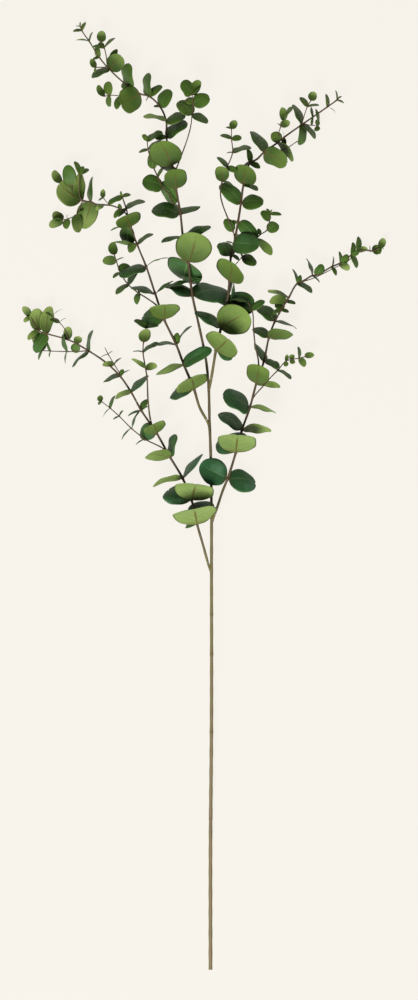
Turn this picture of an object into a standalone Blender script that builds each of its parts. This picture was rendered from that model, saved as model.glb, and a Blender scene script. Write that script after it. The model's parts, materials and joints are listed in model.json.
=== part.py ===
"""A cut branch of silver dollar eucalyptus, lying on a table.

The bare end of the stem is at -Y, the crown spreads towards +Y, and the leaves that hang
below the stems touch the table at z = 0. Leaves grow in pairs, each pair turned about a
quarter turn from the one before it. A grown pair is one blade on either side of a small
collar that the stem passes through. Near the tips the young leaves and their twig are one.
"""

import math

import bpy
import numpy as np
from mathutils.bvhtree import BVHTree

# ---------------------------------------------------------------------------- sizes, mm
MM = 0.001
LEAF_HALF_THICKNESS = 0.40  # at the midrib; a blade thins out to its rim
COLLAR_GAP = 0.35  # clear space between a collar and its stem
COLLAR_WALL = 0.75
COLLAR_LENGTH = 2.2
JOINT_GAP = 0.35  # clear space where a twig starts, beyond its parent's stub
LEAF_GAP = 0.3  # the least clear space between two blades
BLADE_BOW = 0.85  # radians that a midrib turns through from base to tip
BLADE_CUP = 0.05  # how far the sides of a blade drop, as a share of its width
CROWN_LIFT = 0.80  # all stem heights in the tables below are multiplied by this
THICK_STEM_SIDES = 8
THIN_STEM_SIDES = 5
COLLAR_SIDES = 8
BIG_LEAF = 19.0  # blades longer than this get more rows of faces
TAPER = 0.6  # below 1, a stem keeps its thickness and then thins out near its tip
TOUCH = None  # in place of a rise: the leaf hangs until it touches the table

# Each stem: its parent, its radius at the start and at the tip, and its points. A point is
# x, y and height z in mm, then the leaves that grow there. A leaf is its heading in degrees
# (0 is +X, 90 is +Y), its length, its rise above the horizontal, its turn about its own
# midrib (0 shows its upper face from above, 180 its lower face, 90 its rim), and
# where it isn't the usual one its width divided by its length.
STEMS = {
    "main_stem": (None, 1.95, 0.5, [
        (10.5, -472, 2.3),
        (10.5, -350, 6.5),
        (11.5, -220, 15),
        (11.5, -67, 25),
        (11.5, -18, 29),
        (10.8, 42, 33),
        (9.5, 80, 34),
        (8.5, 115, 34),
        (6, 140, 34),
        (-0.5, 172, 35),
        (-7.5, 204, 36, (151, 32.8, -32, 66, 0.97), (7, 39.9, -25, 58, 0.99)),
        (-9.5, 218, 36, (204, 23.1, 2, 78, 0.94), (15, 10.7, -15, 80, 0.75)),
        (-11.7, 238, 36, (76, 33, 22, 180, 1.1), (250, 33, -62, 14, 1.2)),
        (-17, 263, 35, (196, 22.4, 15, 77, 1.05), (20, 29.5, 4, 72, 0.99)),
        (-19.5, 286, 34, (169, 29.3, -11, 53, 0.97), (30, 25.5, -44, 65, 0.88)),
        (-24, 312, 33, (93, 24.6, 38, 176, 0.95), (212, 26.8, -59, 0, 0.99)),
        (-28, 335, 31, (120, 31.7, 30, 156, 1), (247, 24, -75, 0, 0.94)),
        (-33.5, 363, 29, (38, 26.6, -1, 57, 0.95), (185, 11.7, -3, 48, 0.82)),
        (-34, 380, 27, (170, 24.1, 7, 99, 0.96), (8, 22.1, 23, 53, 0.88)),
        (-40, 394, 25, (54, 20.6, 12, 46, 0.99), (176, 7, -16, 50, 0.72)),
        (-51, 404.5, 23, (93, 24.5, -4, 65, 0.87), (40, 17.6, -9, 41, 0.62),
         (242, 7, 19, 100, 0.65)),
        (-60, 407, 22, (213, 25.5, 23, 156, 1.1)),
        (-69, 412.5, 21, (99, 26.5, 2, 62, 0.94), (126, 17.6, -48, 15, 0.83)),
        (-91, 432, 18, (206, 20.2, 1, 61, 0.86), (45, 19.3, 18, 179, 0.95),
         (68, 23.1, -12, 132, 0.45)),
        (-101, 444, 16, (101, 13.1, -3, 53, 0.77), (196, 7.3, -5, 48, 0.67)),
        (-111, 460, 14, (175, 14, 5, 95, 0.78), (71, 10.5, 2, 72, 0.73)),
        (-118.5, 471, 13, (184, 9.3, -4, 56, 0.73), (67, 9.8, -8, 55, 0.72)),
        (-120, 475, 13, (86, 5.3, 32, 59, 0.63), (171, 5.5, -20, 66, 0.61)),
    ]),
    "leader_twig_top": ("main_stem", 0.6, 0.4, [
        (-92.5, 434, 18),
        (-94, 445, 21),
        (-96, 453, 22, (41, 15.3, 11, 71, 0.78), (172, 11.9, -1, 62, 0.79)),
        (-99, 459, 22, (87, 11.6, 3, 177, 0.79), (269, 7.5, 31, 165, 0.88)),
    ]),
    "leader_twig_side": ("main_stem", 0.6, 0.4, [
        (-93, 434, 18),
        (-98, 434, 17),
        (-104.5, 434, 17, (122, 10, 16, 158, 0.71), (263, 5.9, -3, 51, 0.65)),
        (-106, 434, 17),
    ]),
    "leader_twig_low": ("main_stem", 0.6, 0.4, [
        (-65, 409, 21),
        (-78, 405.5, 18, (246, 15.3, 0, 49, 0.8)),
        (-91, 406, 16, (93, 14.4, 8, 42, 0.87), (272, 12, -4, 52, 0.81)),
        (-96, 405, 15, (119, 13.3, 0, 141, 0.68)),
    ]),
    "leader_twig_right": ("main_stem", 0.7, 0.4, [
        (-25, 327, 32),
        (-19.5, 342, 36),
        (-12, 363, 41),
        (-9, 375, 43),
        (-8, 385, 43, (136, 20, -7, 40, 0.98), (332, 18.5, 3, 55, 0.86)),
        (-7, 396, 43, (21, 18.4, 3, 23, 0.88), (140, 11.5, -39, 9, 0.78)),
        (-8, 405, 43, (128, 17.7, 17, 31, 0.91), (61, 16.8, -1, 140, 0.77),
         (48, 13.8, -24, 61, 0.77)),
    ]),
    "leader_twig_left": ("main_stem", 0.9, 0.4, [
        (-27, 298, 33),
        (-31, 306, 30),
        (-38, 314, 27, (167, 21.4, 10, 30, 0.93), (201, 12.9, -48, 40, 0.78)),
        (-42, 323, 26, (60, 12.4, -1, 64, 0.71)),
        (-46, 332, 25, (100, 16.2, -4, 50, 0.91)),
        (-52, 351, 24, (197, 9.9, -3, 57, 0.7), (35, 18, 0, 74, 0.82)),
        (-53, 360, 24, (127, 7.9, 4, 29, 0.78), (28, 18.4, 3, 58, 0.79)),
    ]),
    "shoot_left_low": ("main_stem", 1.3, 0.6, [
        (9.2, -67, 25),
        (3, -45, 27),
        (-3, -24, 29, (105, 42.8, 68, 174, 1.04), (72, 31.9, TOUCH, -37, 1),
         (193, 15.2, -45, 49, 0.68)),
        (-8.5, 0, 30, (76, 36.3, 62, 175, 1.12), (155, 33.5, -39, 36, 0.97)),
        (-17.5, 22, 30, (195, 31, 14, 102, 0.94), (51, 31.6, -9, 79, 0.96)),
        (-30, 43, 29, (175, 28.2, 35, 119, 0.86), (81, 23.7, -2, 65, 0.87)),
        (-43.5, 67, 27, (107, 24.9, 67, 185, 0.95), (165, 22.1, -41, 21, 0.89)),
        (-59, 90, 24, (68, 12.4, -17, 49, 0.84), (247, 19.7, -4, 81, 0.79),
         (203, 13.7, -7, 74, 0.67), (24, 8, 2, 73, 0.71)),
        (-69, 108, 22, (44, 25.2, -7, 74, 0.96), (201, 17.9, 12, 113, 0.81)),
        (-80, 124, 20, (199, 19.6, -18, 74, 0.99), (32, 12.5, -2, 82, 0.78),
         (66, 7.9, 2, 35, 0.76)),
        (-94, 137.5, 18),
        (-111, 149.2, 17, (81, 22.4, -5, 77, 0.94), (222, 24.7, TOUCH, 80, 0.95)),
        (-119, 154, 17),
        (-124, 157, 17, (64, 10.2, 40, 166, 0.82), (261, 10.7, -25, 11, 0.89)),
        (-133, 161, 16, (89, 13.8, 17, 161, 0.68)),
        (-154, 167, 15, (82, 28.5, 7, 140, 0.6), (237, 23.5, -14, 34, 0.62)),
        (-162, 170, 14, (95, 23.1, 2, 165, 0.68), (220, 14.6, -10, 128, 0.69)),
        (-170, 184, 13, (128, 13.2, 13, 140, 0.73), (219, 9.2, -16, 134, 0.76)),
    ]),
    "left_low_twig_tip": ("shoot_left_low", 0.6, 0.4, [
        (-112, 149.3, 17),
        (-122, 149, 15),
        (-133.5, 149, 13, (101, 18.5, 12, 70, 0.75), (263, 12.7, -8, 80, 0.82)),
        (-150, 149.5, 12, (110, 10.5, 0, 67, 0.74), (259, 6.6, 1, 69, 0.67)),
        (-158, 150, 11, (247, 10.6, -8, 69, 0.79), (112, 21.9, 9, 160, 0.61)),
    ]),
    "left_low_twig_over": ("shoot_left_low", 0.5, 0.35, [
        (-131, 161, 17),
        (-136, 172, 19),
        (-141, 178, 20, (162, 10.2, -3, 50, 0.76), (32, 8.4, 5, 83, 0.74)),
        (-148, 184, 20, (36, 12.6, 0, 90, 0.59), (150, 8, -20, 60, 0.69)),
    ]),
    "left_low_twig_side": ("shoot_left_low", 0.7, 0.4, [
        (-35.5, 50.5, 28),
        (-55, 61, 22, (212, 11.4, 3, 75, 0.46)),
        (-69, 72, 19, (231, 15.4, -1, 76, 0.45)),
        (-81, 84, 17, (56, 7.5, 2, 66, 0.66), (209, 7.2, -1, 67, 0.65)),
        (-90, 92, 16, (70, 14.2, -9, 69, 0.74), (232, 12.3, -7, 83, 0.73)),
        (-99, 99, 15, (108, 6.4, 10, 153, 1.07), (229, 4.8, -6, 125, 0.99)),
    ]),
    "left_low_twig_up": ("shoot_left_low", 0.9, 0.45, [
        (-48.5, 76, 26),
        (-52, 100, 30),
        (-53, 122, 33),
        (-54.5, 132, 33, (147, 17.6, 13, 118, 0.52), (11, 12.2, -4, 133, 0.87)),
        (-57, 148, 33, (178, 10.5, -1, 79, 0.78), (23, 19.2, 6, 70, 0.8)),
        (-56.5, 158, 33, (75, 14.8, 21, 153, 0.88)),
        (-54, 172, 32, (146, 14.9, -3, 56, 0.74), (10, 13.2, -8, 69, 0.78),
         (120, 10.5, -16, 41, 0.75)),
    ]),
    "left_low_twig_mid": ("shoot_left_low", 0.5, 0.35, [
        (-80, 126, 20),
        (-86, 136, 21, (183, 12.2, 3, 126, 0.79), (42, 10.5, -10, 76, 0.81)),
        (-92, 146, 22, (205, 9.2, -2, 82, 0.76), (35, 5.7, -1, 76, 0.66)),
        (-95, 152, 23),
    ]),
    "shoot_left_mid": ("main_stem", 1.4, 0.6, [
        (9, 74.5, 33),
        (-0.5, 93, 33),
        (-6, 111, 33, (108, 32.2, 69, 189, 1.05), (182, 31.1, TOUCH, 45, 1.01)),
        (-16, 135, 32, (29, 34.6, 6, 67, 1), (199, 29.5, 11, 100, 1.04)),
        (-24, 156, 31, (184, 25.6, -8, 81, 0.97), (51, 23.7, 0, 82, 0.86),
         (95, 11.8, -8, 42, 0.82)),
        (-36, 181, 29, (87, 31.8, 64, 174, 0.95), (168, 28, -39, 22, 0.83)),
        (-45, 207, 27, (166, 24.7, 5, 72, 0.85), (34, 22.6, 19, 96, 0.99)),
        (-54, 234, 26, (202, 28.6, 9, 62, 0.85), (19, 24.2, 7, 89, 0.87)),
        (-63, 256, 25, (173, 23.4, -4, 96, 0.91), (35, 19, -8, 69, 0.79),
         (211, 13.1, -38, 22, 0.78)),
        (-69.5, 274, 24, (103, 25.7, 63, 191, 1.04), (257, 21.8, -36, -30, 0.86),
         (192, 20.4, 0, 96, 0.45)),
        (-74, 292, 22, (22, 21.2, -9, 69, 0.89), (220, 14.4, -20, 57, 0.62)),
        (-78, 304, 21, (205, 16.2, -3, 48, 0.59), (15, 9.2, -11, 49, 0.72), (104, 6, 2, 54, 0.71)),
    ]),
    "left_mid_twig_tip": ("shoot_left_mid", 0.9, 0.45, [
        (-72, 284, 23),
        (-79, 291, 22, (228, 11.2, -10, 41, 0.67), (112, 6.5, -3, 31, 0.71)),
        (-88, 295, 21),
        (-97, 296, 20, (216, 9.6, -17, 131, 0.79)),
        (-105, 297, 19),
        (-109, 299, 18, (87, 26.3, -5, 78, 1), (252, 31.9, TOUCH, 163, 0.69)),
        (-119, 300.5, 17, (92, 28.4, 3, 141, 0.51), (144, 29, 5, 159, 0.95)),
        (-129, 315, 16, (91, 22.3, 10, 31, 0.72), (20, 10, -20, 60, 0.6)),
        (-139, 318.5, 15, (125, 15, 9, 145, 0.74)),
    ]),
    "left_mid_twig_fork": ("left_mid_twig_tip", 0.6, 0.4, [
        (-118, 299, 17),
        (-121, 291, 16),
        (-123, 287, 15, (272, 19.5, 2, 145, 0.66), (32, 7, 2, 56, 0.68)),
        (-133, 282, 14, (264, 10.8, 13, 26, 0.77), (91, 4.8, 6, 76, 0.63)),
        (-138, 281, 14, (139, 12.4, -5, 148, 0.98), (209, 15.4, -12, 127, 0.94)),
    ]),
    "left_mid_twig_crown": ("left_mid_twig_tip", 0.6, 0.4, [
        (-119.5, 302, 18),
        (-121, 315, 21),
        (-120.5, 326, 23, (112, 14.8, 0, 52, 0.62), (29, 11.1, 0, 54, 0.8),
         (62, 9.6, 10, 46, 0.76)),
    ]),
    "left_mid_twig_bud": ("left_mid_twig_tip", 0.4, 0.35, [
        (-92, 297, 20),
        (-97, 303, 21, (91, 8.8, 12, 151, 0.68), (212, 5.7, 0, 58, 0.69)),
    ]),
    "left_mid_twig_side": ("shoot_left_mid", 0.8, 0.45, [
        (-41.5, 193, 28),
        (-53, 202, 24),
        (-61, 207, 22, (254, 11.9, -16, 49, 0.82), (64, 8.3, 6, 54, 0.72)),
        (-72, 216, 20, (219, 16.3, 6, 60, 0.77), (53, 16.7, 3, 64, 0.88)),
        (-80, 228, 19, (217, 9.4, 5, 55, 0.74), (49, 13.2, 5, 28, 0.92)),
        (-84, 240, 18, (182, 14.1, -1, 142, 0.84), (22, 8.3, -1, 75, 0.74)),
        (-86, 246, 18, (97, 13.1, 2, 147, 0.85)),
    ]),
    "shoot_right_low": ("main_stem", 1.3, 0.6, [
        (13.4, -18, 29),
        (17, -8, 30),
        (23, 10, 32),
        (27.5, 21, 33, (154, 31.5, 15, 41, 1.1), (351, 29.5, -16, 44, 1.01)),
        (36, 48, 34, (84, 38, 62, 180, 1.05), (110, 32.8, TOUCH, 3, 1.04)),
        (42, 70, 34, (143, 28.7, -11, 60, 0.93), (0, 29.1, 6, 108, 0.95)),
        (50, 93, 33, (158, 30.8, 19, 53, 1.07), (347, 26.8, 12, 100, 0.87)),
        (56.5, 117, 32, (83, 26.4, 45, 195, 0.95), (351, 26.9, -27, 115, 0.56)),
        (64, 139, 30, (111, 23.2, -32, 65, 0.88), (339, 16.1, -2, 57, 0.85)),
        (69, 162.5, 29, (145, 19.4, -25, 55, 0.93), (14, 25.2, 27, 117, 1.05)),
        (75, 179, 27, (135, 24.5, -22, 54, 0.95), (342, 23.2, -16, 82, 0.96)),
        (81, 190, 26, (349, 8.6, -8, 50, 0.75), (111, 12.4, -30, 21, 0.85),
         (199, 10.4, -20, 50, 0.71)),
        (86.5, 199, 24, (178, 18.4, 20, 133, 0.78), (345, 9.9, 8, 56, 0.79)),
        (89, 203, 25, (165, 23.9, -22, 99, 0.93)),
        (97.5, 217, 21, (108, 16, -9, 73, 0.71), (329, 18.1, -3, 64, 0.83), (69, 9.3, 0, 46, 0.77)),
        (104, 220, 20),
        (112.5, 225, 18, (109, 19, -2, 78, 0.85), (317, 10.5, -1, 75, 0.78)),
        (116.5, 225.5, 18, (62, 12.9, 12, 36, 0.89)),
        (132, 234, 13, (82, 11.2, -6, 77, 0.76), (298, 10.2, -4, 55, 0.74)),
        (141, 238, 10, (97, 11.9, 5, 65, 0.74), (317, 12.9, TOUCH, 134, 0.83),
         (46, 11.5, -1, 32, 0.82)),
        (152, 246, 9, (83, 13.3, 1, 52, 0.66), (293, 14.4, -3, 59, 0.83), (22, 8.8, 2, 25, 0.73)),
        (158, 250, 9, (86, 15.2, -7, 48, 0.58), (13, 10.8, 4, 129, 0.85)),
        (170, 250.5, 9, (88, 5.1, -1, 74, 0.7), (310, 3, 2, 68, 0.63)),
        (173, 250, 9, (21, 10.3, 3, 157, 1.06)),
        (180, 253, 9, (64, 11.2, 7, 152, 0.75), (274, 6.9, -4, 59, 0.71), (345, 5.5, 2, 80, 0.63)),
    ]),
    "right_low_twig_tip": ("shoot_right_low", 0.5, 0.35, [
        (105, 219.5, 20),
        (115, 223, 17),
        (131, 231, 12),
        (140, 235.5, 9),
        (150, 241, 8),
        (151.5, 243, 8, (60, 7, 0, 60, 0.68)),
    ]),
    "right_low_twig_side": ("shoot_right_low", 0.7, 0.4, [
        (52.5, 101, 33),
        (64, 115, 30),
        (72, 124, 29),
        (78, 130, 28, (325, 16.7, 9, 70, 0.81), (149, 11.8, -17, 70, 0.75)),
        (86, 139, 27, (80, 7, -3, 140, 0.74), (265, 5.5, 0, 147, 1.12)),
        (93, 141, 27, (118, 5.3, 3, 156, 1.18), (254, 5.1, 6, 157, 1.18)),
        (99, 142, 27, (95, 12, 3, 68, 0.86), (308, 10.8, 6, 143, 0.79)),
        (105, 143.5, 27, (14, 10.1, 18, 144, 0.76)),
    ]),
    "right_low_twig_up": ("shoot_right_low", 0.9, 0.45, [
        (57.8, 122, 33),
        (58.5, 138, 38),
        (55, 156, 41),
        (53.5, 172, 43),
        (52, 190, 45, (35, 15.8, 3, 53, 0.82), (180, 20, -10, 84, 0.87)),
        (48, 197, 46, (172, 20, -12, 84, 0.87)),
    ]),
    "shoot_right_mid": ("main_stem", 1.4, 0.6, [
        (10.2, 116, 34),
        (13, 132, 36),
        (16, 150, 38, (46, 33.6, 61, 171, 1.06), (6, 26.3, -52, 6, 0.89)),
        (21, 172, 42, (148, 30.1, -2, 71, 1.06), (30, 33.4, 16, 152, 1.11)),
        (26.5, 194, 46, (9, 29.2, -15, 37, 1.07), (151, 34.1, -22, 79, 1.02),
         (85, 29.1, -11, 77, 0.45)),
        (29.5, 219, 47, (90, 30.2, 49, 214, 1.04), (322, 28.4, -88, 13, 0.94)),
        (31, 244, 46, (121, 19.2, -29, 35, 0.98), (331, 9.5, -17, 52, 0.71)),
        (34, 256, 45, (354, 29.7, 22, 47, 1.09), (166, 7.4, -5, 68, 0.68)),
        (38, 278, 43, (316, 25.5, 5, 40, 0.71), (210, 11.3, -2, 45, 0.78)),
        (41, 297, 41, (138, 28.9, 2, 57, 0.99), (2, 22.2, 7, 40, 0.9)),
        (43.5, 315, 39, (83, 24.6, 38, 160, 0.99), (339, 16.2, 6, 63, 0.83)),
        (44.5, 318, 39, (156, 8, 0, 68, 0.69)),
        (50, 337, 36, (334, 11.6, 0, 41, 0.72), (212, 13.8, -39, 70, 0.73),
         (99, 14.3, 1, 42, 0.59)),
        (57, 341, 35),
        (64, 348, 34, (119, 26.5, -17, 61, 0.93), (332, 27.1, 9, 137, 0.88)),
        (78, 358, 30, (110, 11.8, -4, 15, 1.01), (308, 25, -4, 112, 0.73)),
        (84, 363, 29, (103, 7.3, -5, 88, 0.67), (263, 13.7, 1, 150, 0.45)),
        (102, 376, 25, (116, 22.9, 8, 69, 0.92), (315, 20.3, -9, 67, 0.9),
         (264, 21.2, -5, 61, 0.86)),
        (127.5, 394, 20, (96, 13.4, 3, 66, 0.8), (326, 10.7, 3, 83, 0.64)),
        (137, 401, 18, (98, 10.3, 6, 74, 0.74), (338, 8.4, -6, 65, 0.7)),
        (138, 402, 18, (35, 5.3, -4, 57, 0.64)),
    ]),
    "right_mid_twig_left": ("shoot_right_mid", 0.8, 0.4, [
        (34.5, 263, 45),
        (33, 268.5, 45.5, (124, 15, -5, 17, 0.73)),
        (28, 281, 47),
        (22, 297, 48),
        (20.5, 305, 48),
        (22, 318, 48, (95, 16.3, 18, 156, 0.95), (340, 12.7, -12, 71, 0.77)),
        (27, 332, 47, (133, 15, -9, 63, 0.86), (343, 11.4, -3, 45, 0.85)),
        (32.5, 347, 46, (186, 6.3, -7, 68, 0.7), (17, 20.3, -11, 68, 0.92)),
        (31.5, 361, 45, (164, 12, -1, 58, 0.79), (358, 10.9, 18, 40, 0.81)),
        (31.5, 371, 44, (61, 9.5, 3, 151, 0.94), (167, 5.9, 1, 55, 0.69)),
    ]),
    "right_mid_twig_side": ("shoot_right_mid", 0.7, 0.4, [
        (37, 265, 44),
        (50, 258, 42),
        (56, 260.8, 41, (314, 23.2, -9, 124, 0.66)),
        (60, 265, 40, (107, 6.9, -3, 35, 0.75)),
        (67, 270, 39, (22, 13.2, -8, 19, 0.95)),
        (69.5, 279, 39, (130, 13.1, 1, 35, 0.85)),
        (70, 286, 38, (125, 6.6, -2, 48, 0.69), (63, 5.1, 0, 58, 0.61), (356, 11.9, 5, 45, 0.51)),
    ]),
    "right_mid_twig_low": ("shoot_right_mid", 0.5, 0.4, [
        (31, 230, 46),
        (37, 237, 44),
        (42, 243, 42, (333, 16.7, -4, 41, 0.84), (110, 6, -18, 55, 0.59)),
    ]),
    "right_mid_twig_crown": ("shoot_right_mid", 0.5, 0.4, [
        (78, 360, 30),
        (79, 368, 31),
        (81, 374, 32, (29, 10.3, 12, 151, 0.86), (140, 4.6, -5, 59, 0.57)),
        (84, 380, 32, (99, 13.5, -5, 147, 0.73), (57, 16.6, 6, 61, 0.85)),
    ]),
    "right_mid_twig_top": ("shoot_right_mid", 0.5, 0.4, [
        (102, 378, 25),
        (105, 387, 27),
        (107.5, 394, 28, (130, 12.2, 0, 53, 0.85), (5, 12.3, 9, 69, 0.8)),
        (111, 400, 29, (68, 9.6, 7, 177, 0.92)),
    ]),
    "right_mid_twig_tip": ("shoot_right_mid", 0.5, 0.35, [
        (103, 376, 25),
        (112, 375.5, 23, (93, 18.9, 5, 79, 0.83)),
        (118, 375, 22, (98, 17.7, 4, 73, 0.72), (252, 6.4, 21, 149, 1.03), (98, 6.6, 5, 148, 0.83)),
    ]),
    "right_mid_twig_down": ("shoot_right_mid", 0.5, 0.4, [
        (70, 349.5, 32),
        (84, 351, 29),
        (97, 359, 26, (283, 5.8, 1, 89, 0.67)),
    ]),
}

# The stems whose lower leaves are pieces of their own, and the y from which the stem is a
# green tip that is one with its young leaves.
GREEN_TIP_FROM = {
    "main_stem": 348,
    "shoot_left_low": 99,
    "shoot_left_mid": 288,
    "shoot_right_low": 185,
    "shoot_right_mid": 307,
}
TIP_NAMES = {
    "main_stem": "leader_tip",
    "shoot_left_low": "left_low_tip",
    "shoot_left_mid": "left_mid_tip",
    "shoot_right_low": "right_low_tip",
    "shoot_right_mid": "right_mid_tip",
}
# Twigs so young that they are one with the green tip or twig that bears them.
GROWN_INTO = {
    "leader_twig_top": "leader_tip",
    "leader_twig_side": "leader_tip",
    "leader_twig_low": "leader_tip",
    "left_low_twig_tip": "left_low_tip",
    "left_low_twig_over": "left_low_tip",
    "left_low_twig_mid": "left_low_tip",
    "left_mid_twig_fork": "left_mid_twig_tip",
    "left_mid_twig_crown": "left_mid_twig_tip",
    "left_mid_twig_bud": "left_mid_twig_tip",
    "right_low_twig_tip": "right_low_tip",
    "right_mid_twig_crown": "right_mid_tip",
    "right_mid_twig_top": "right_mid_tip",
    "right_mid_twig_tip": "right_mid_tip",
    "right_mid_twig_down": "right_mid_tip",
}

COLOURS = {
    "bark": ((0.19, 0.14, 0.07), 0.65),
    "old_leaf": ((0.09, 0.20, 0.11), 0.55),
    "mid_leaf": ((0.15, 0.28, 0.09), 0.55),
    "young_leaf": ((0.20, 0.30, 0.11), 0.55),
}


# ------------------------------------------------------------------------------- routes
def unit(v):
    return v / np.linalg.norm(v)


def smooth_route(points, step=15.0):
    """A smooth curve through the points, with a vertex about every `step` mm.

    Returns the curve and the index on it of each given point.
    """
    pts = np.asarray(points, float)
    pts = np.vstack([2 * pts[0] - pts[1], pts, 2 * pts[-1] - pts[-2]])
    curve = []
    index = []
    for p0, p1, p2, p3 in zip(pts, pts[1:], pts[2:], pts[3:]):
        d0, d1, d2 = (np.linalg.norm(b - a) for a, b in ((p0, p1), (p1, p2), (p2, p3)))
        m1 = d1 * ((p1 - p0) / d0 + (p2 - p1) / d1) / 2
        m2 = d1 * ((p2 - p1) / d1 + (p3 - p2) / d2) / 2
        index.append(len(curve))
        parts = min(4, max(1, round(d1 / step)))
        for k in range(parts):
            t = k / parts
            curve.append(
                (2 * t**3 - 3 * t**2 + 1) * p1
                + (t**3 - 2 * t**2 + t) * m1
                + (3 * t**2 - 2 * t**3) * p2
                + (t**3 - t**2) * m2
            )
    index.append(len(curve))
    curve.append(pts[-2])
    return np.array(curve), index


def lengths_along(curve):
    return np.concatenate([[0], np.cumsum(np.linalg.norm(np.diff(curve, axis=0), axis=1))])


def point_at(curve, length):
    along = lengths_along(curve)
    return np.array([np.interp(length, along, curve[:, k]) for k in range(3)])


def part_of(curve, start, end):
    """The curve between two lengths along it, with new end points there."""
    along = lengths_along(curve)
    inside = curve[(along > start + 0.4) & (along < end - 0.4)]
    return np.vstack([point_at(curve, start), inside, point_at(curve, end)])


def distance_to(curve, p):
    """(distance, length along the curve) of its nearest point to p."""
    best = (1e9, 0.0)
    along = lengths_along(curve)
    for a, b, s in zip(curve, curve[1:], along):
        ab = b - a
        t = float(np.clip((p - a) @ ab / (ab @ ab), 0, 1))
        gap = float(np.linalg.norm(p - a - t * ab))
        if gap < best[0]:
            best = (gap, s + t * float(np.linalg.norm(ab)))
    return best


class Stem:
    def __init__(self, name, parent, start_radius, tip_radius, points):
        self.name, self.parent = name, parent
        self.r0, self.r1 = start_radius, tip_radius
        places = [np.array([p[0], p[1], p[2] * CROWN_LIFT]) for p in points]
        if parent:
            # It leaves the middle of its parent a little below where it shows.
            along = distance_to(parent.curve, places[0])[1]
            places.insert(0, point_at(parent.curve, max(0.0, along - 6.0)))
        # A bud ends it, a little beyond its last leaves.
        places.append(places[-1] + 1.5 * unit(places[-1] - places[-2]))
        self.curve, index = smooth_route(places)
        self.along = lengths_along(self.curve)
        self.length = self.along[-1]
        index = index[1:] if parent else index
        self.stations = [
            (self.along[i], p[3:]) for i, p in zip(index, points) if len(p) > 3
        ]
        self.clear_from = self.length_clear_of_parent() if parent else 0.0

    def radius(self, length):
        left = max(0.0, 1 - length / self.length)
        return self.r1 + (self.r0 - self.r1) * left**TAPER

    def direction(self, length):
        a = point_at(self.curve, max(0.0, length - 1.5))
        b = point_at(self.curve, min(self.length, length + 1.5))
        return unit(b - a)

    def length_clear_of_parent(self):
        for length in np.arange(0.5, self.length, 0.5):
            gap, s = distance_to(self.parent.curve, point_at(self.curve, length))
            if gap > self.parent.radius(s) + self.radius(length) + JOINT_GAP + 0.15:
                return length
        raise ValueError(self.name + " never leaves its parent")

    def tip_from(self):
        """The length at which the green tip starts, where the stem has one."""
        y = GREEN_TIP_FROM.get(self.name)
        if y is None:
            return None
        k = int(np.argmax(self.curve[:, 1] > y))
        a, b = self.curve[k - 1], self.curve[k]
        share = (y - a[1]) / (b[1] - a[1])
        return self.along[k - 1] + share * (self.along[k] - self.along[k - 1])


# ------------------------------------------------------------------------------- solids
def tube(curve, radius_at):
    """(vertices, faces) of a closed round bar along the curve."""
    along = lengths_along(curve)
    sides = THICK_STEM_SIDES if radius_at(0) > 1.0 else THIN_STEM_SIDES
    side = unit(np.cross(unit(curve[1] - curve[0]), [0.31, 0.17, 0.93]))
    verts = []
    faces = []
    for i, p in enumerate(curve):
        ahead = unit(curve[min(i + 1, len(curve) - 1)] - curve[max(i - 1, 0)])
        side = unit(side - ahead * (side @ ahead))
        other = np.cross(ahead, side)
        r = radius_at(along[i])
        for k in range(sides):
            angle = 2 * math.pi * k / sides
            verts.append(p + r * (math.cos(angle) * side + math.sin(angle) * other))
    for i in range(len(curve) - 1):
        for k in range(sides):
            a, b = i * sides + k, i * sides + (k + 1) % sides
            faces.append((a, b, b + sides, a + sides))
    last = (len(curve) - 1) * sides
    faces.append(tuple(reversed(range(sides))))
    faces.append(tuple(range(last, last + sides)))
    return np.array(verts), faces


def collar(centre, direction, radius, grow=0.0):
    """(vertices, faces) of the ring that holds a pair of blades, open in the middle."""
    inner = radius + COLLAR_GAP - grow
    outer = radius + COLLAR_GAP + COLLAR_WALL + grow
    half = COLLAR_LENGTH / 2 + grow
    profile = ((inner, -half), (outer, -half), (outer, half), (inner, half))
    side = unit(np.cross(direction, [0.31, 0.17, 0.93]))
    other = np.cross(direction, side)
    sides = COLLAR_SIDES
    verts = []
    faces = []
    for k in range(sides):
        angle = 2 * math.pi * k / sides
        out = math.cos(angle) * side + math.sin(angle) * other
        verts += [centre + r * out + h * direction for r, h in profile]
        for j in range(4):
            a, b = 4 * k + j, 4 * k + (j + 1) % 4
            c, d = (b + 4) % (4 * sides), (a + 4) % (4 * sides)
            faces.append((a, d, c, b))
    return np.array(verts), faces


def blade_axes(heading, rise, turn, direction):
    """The unit vectors of a blade: along its midrib, and out of its upper face."""
    h, r, t = (math.radians(v) for v in (heading, rise, turn))
    along = np.array([math.cos(h) * math.cos(r), math.sin(h) * math.cos(r), math.sin(r)])
    flat = np.array([-math.cos(h) * math.sin(r), -math.sin(h) * math.sin(r), math.cos(r)])
    side = np.cross(along, flat)
    ups = [math.cos(t) * flat + s * math.sin(t) * side for s in (1, -1)]
    # The upper face is the one towards the growing tip of the stem.
    up = max(ups, key=lambda n: n @ direction)
    return along, up


def usual_ratio(length):
    return float(np.interp(length, [6, 12, 22, 32], [0.66, 0.76, 0.90, 1.0]))


def half_width(u):
    """A round blade's outline: 0 at its base and its tip, 1 near the middle."""
    return math.sqrt(max(0.0, 1 - abs(2 * u**0.92 - 1) ** 2.15)) if 0 < u < 1 else 0.0


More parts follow.
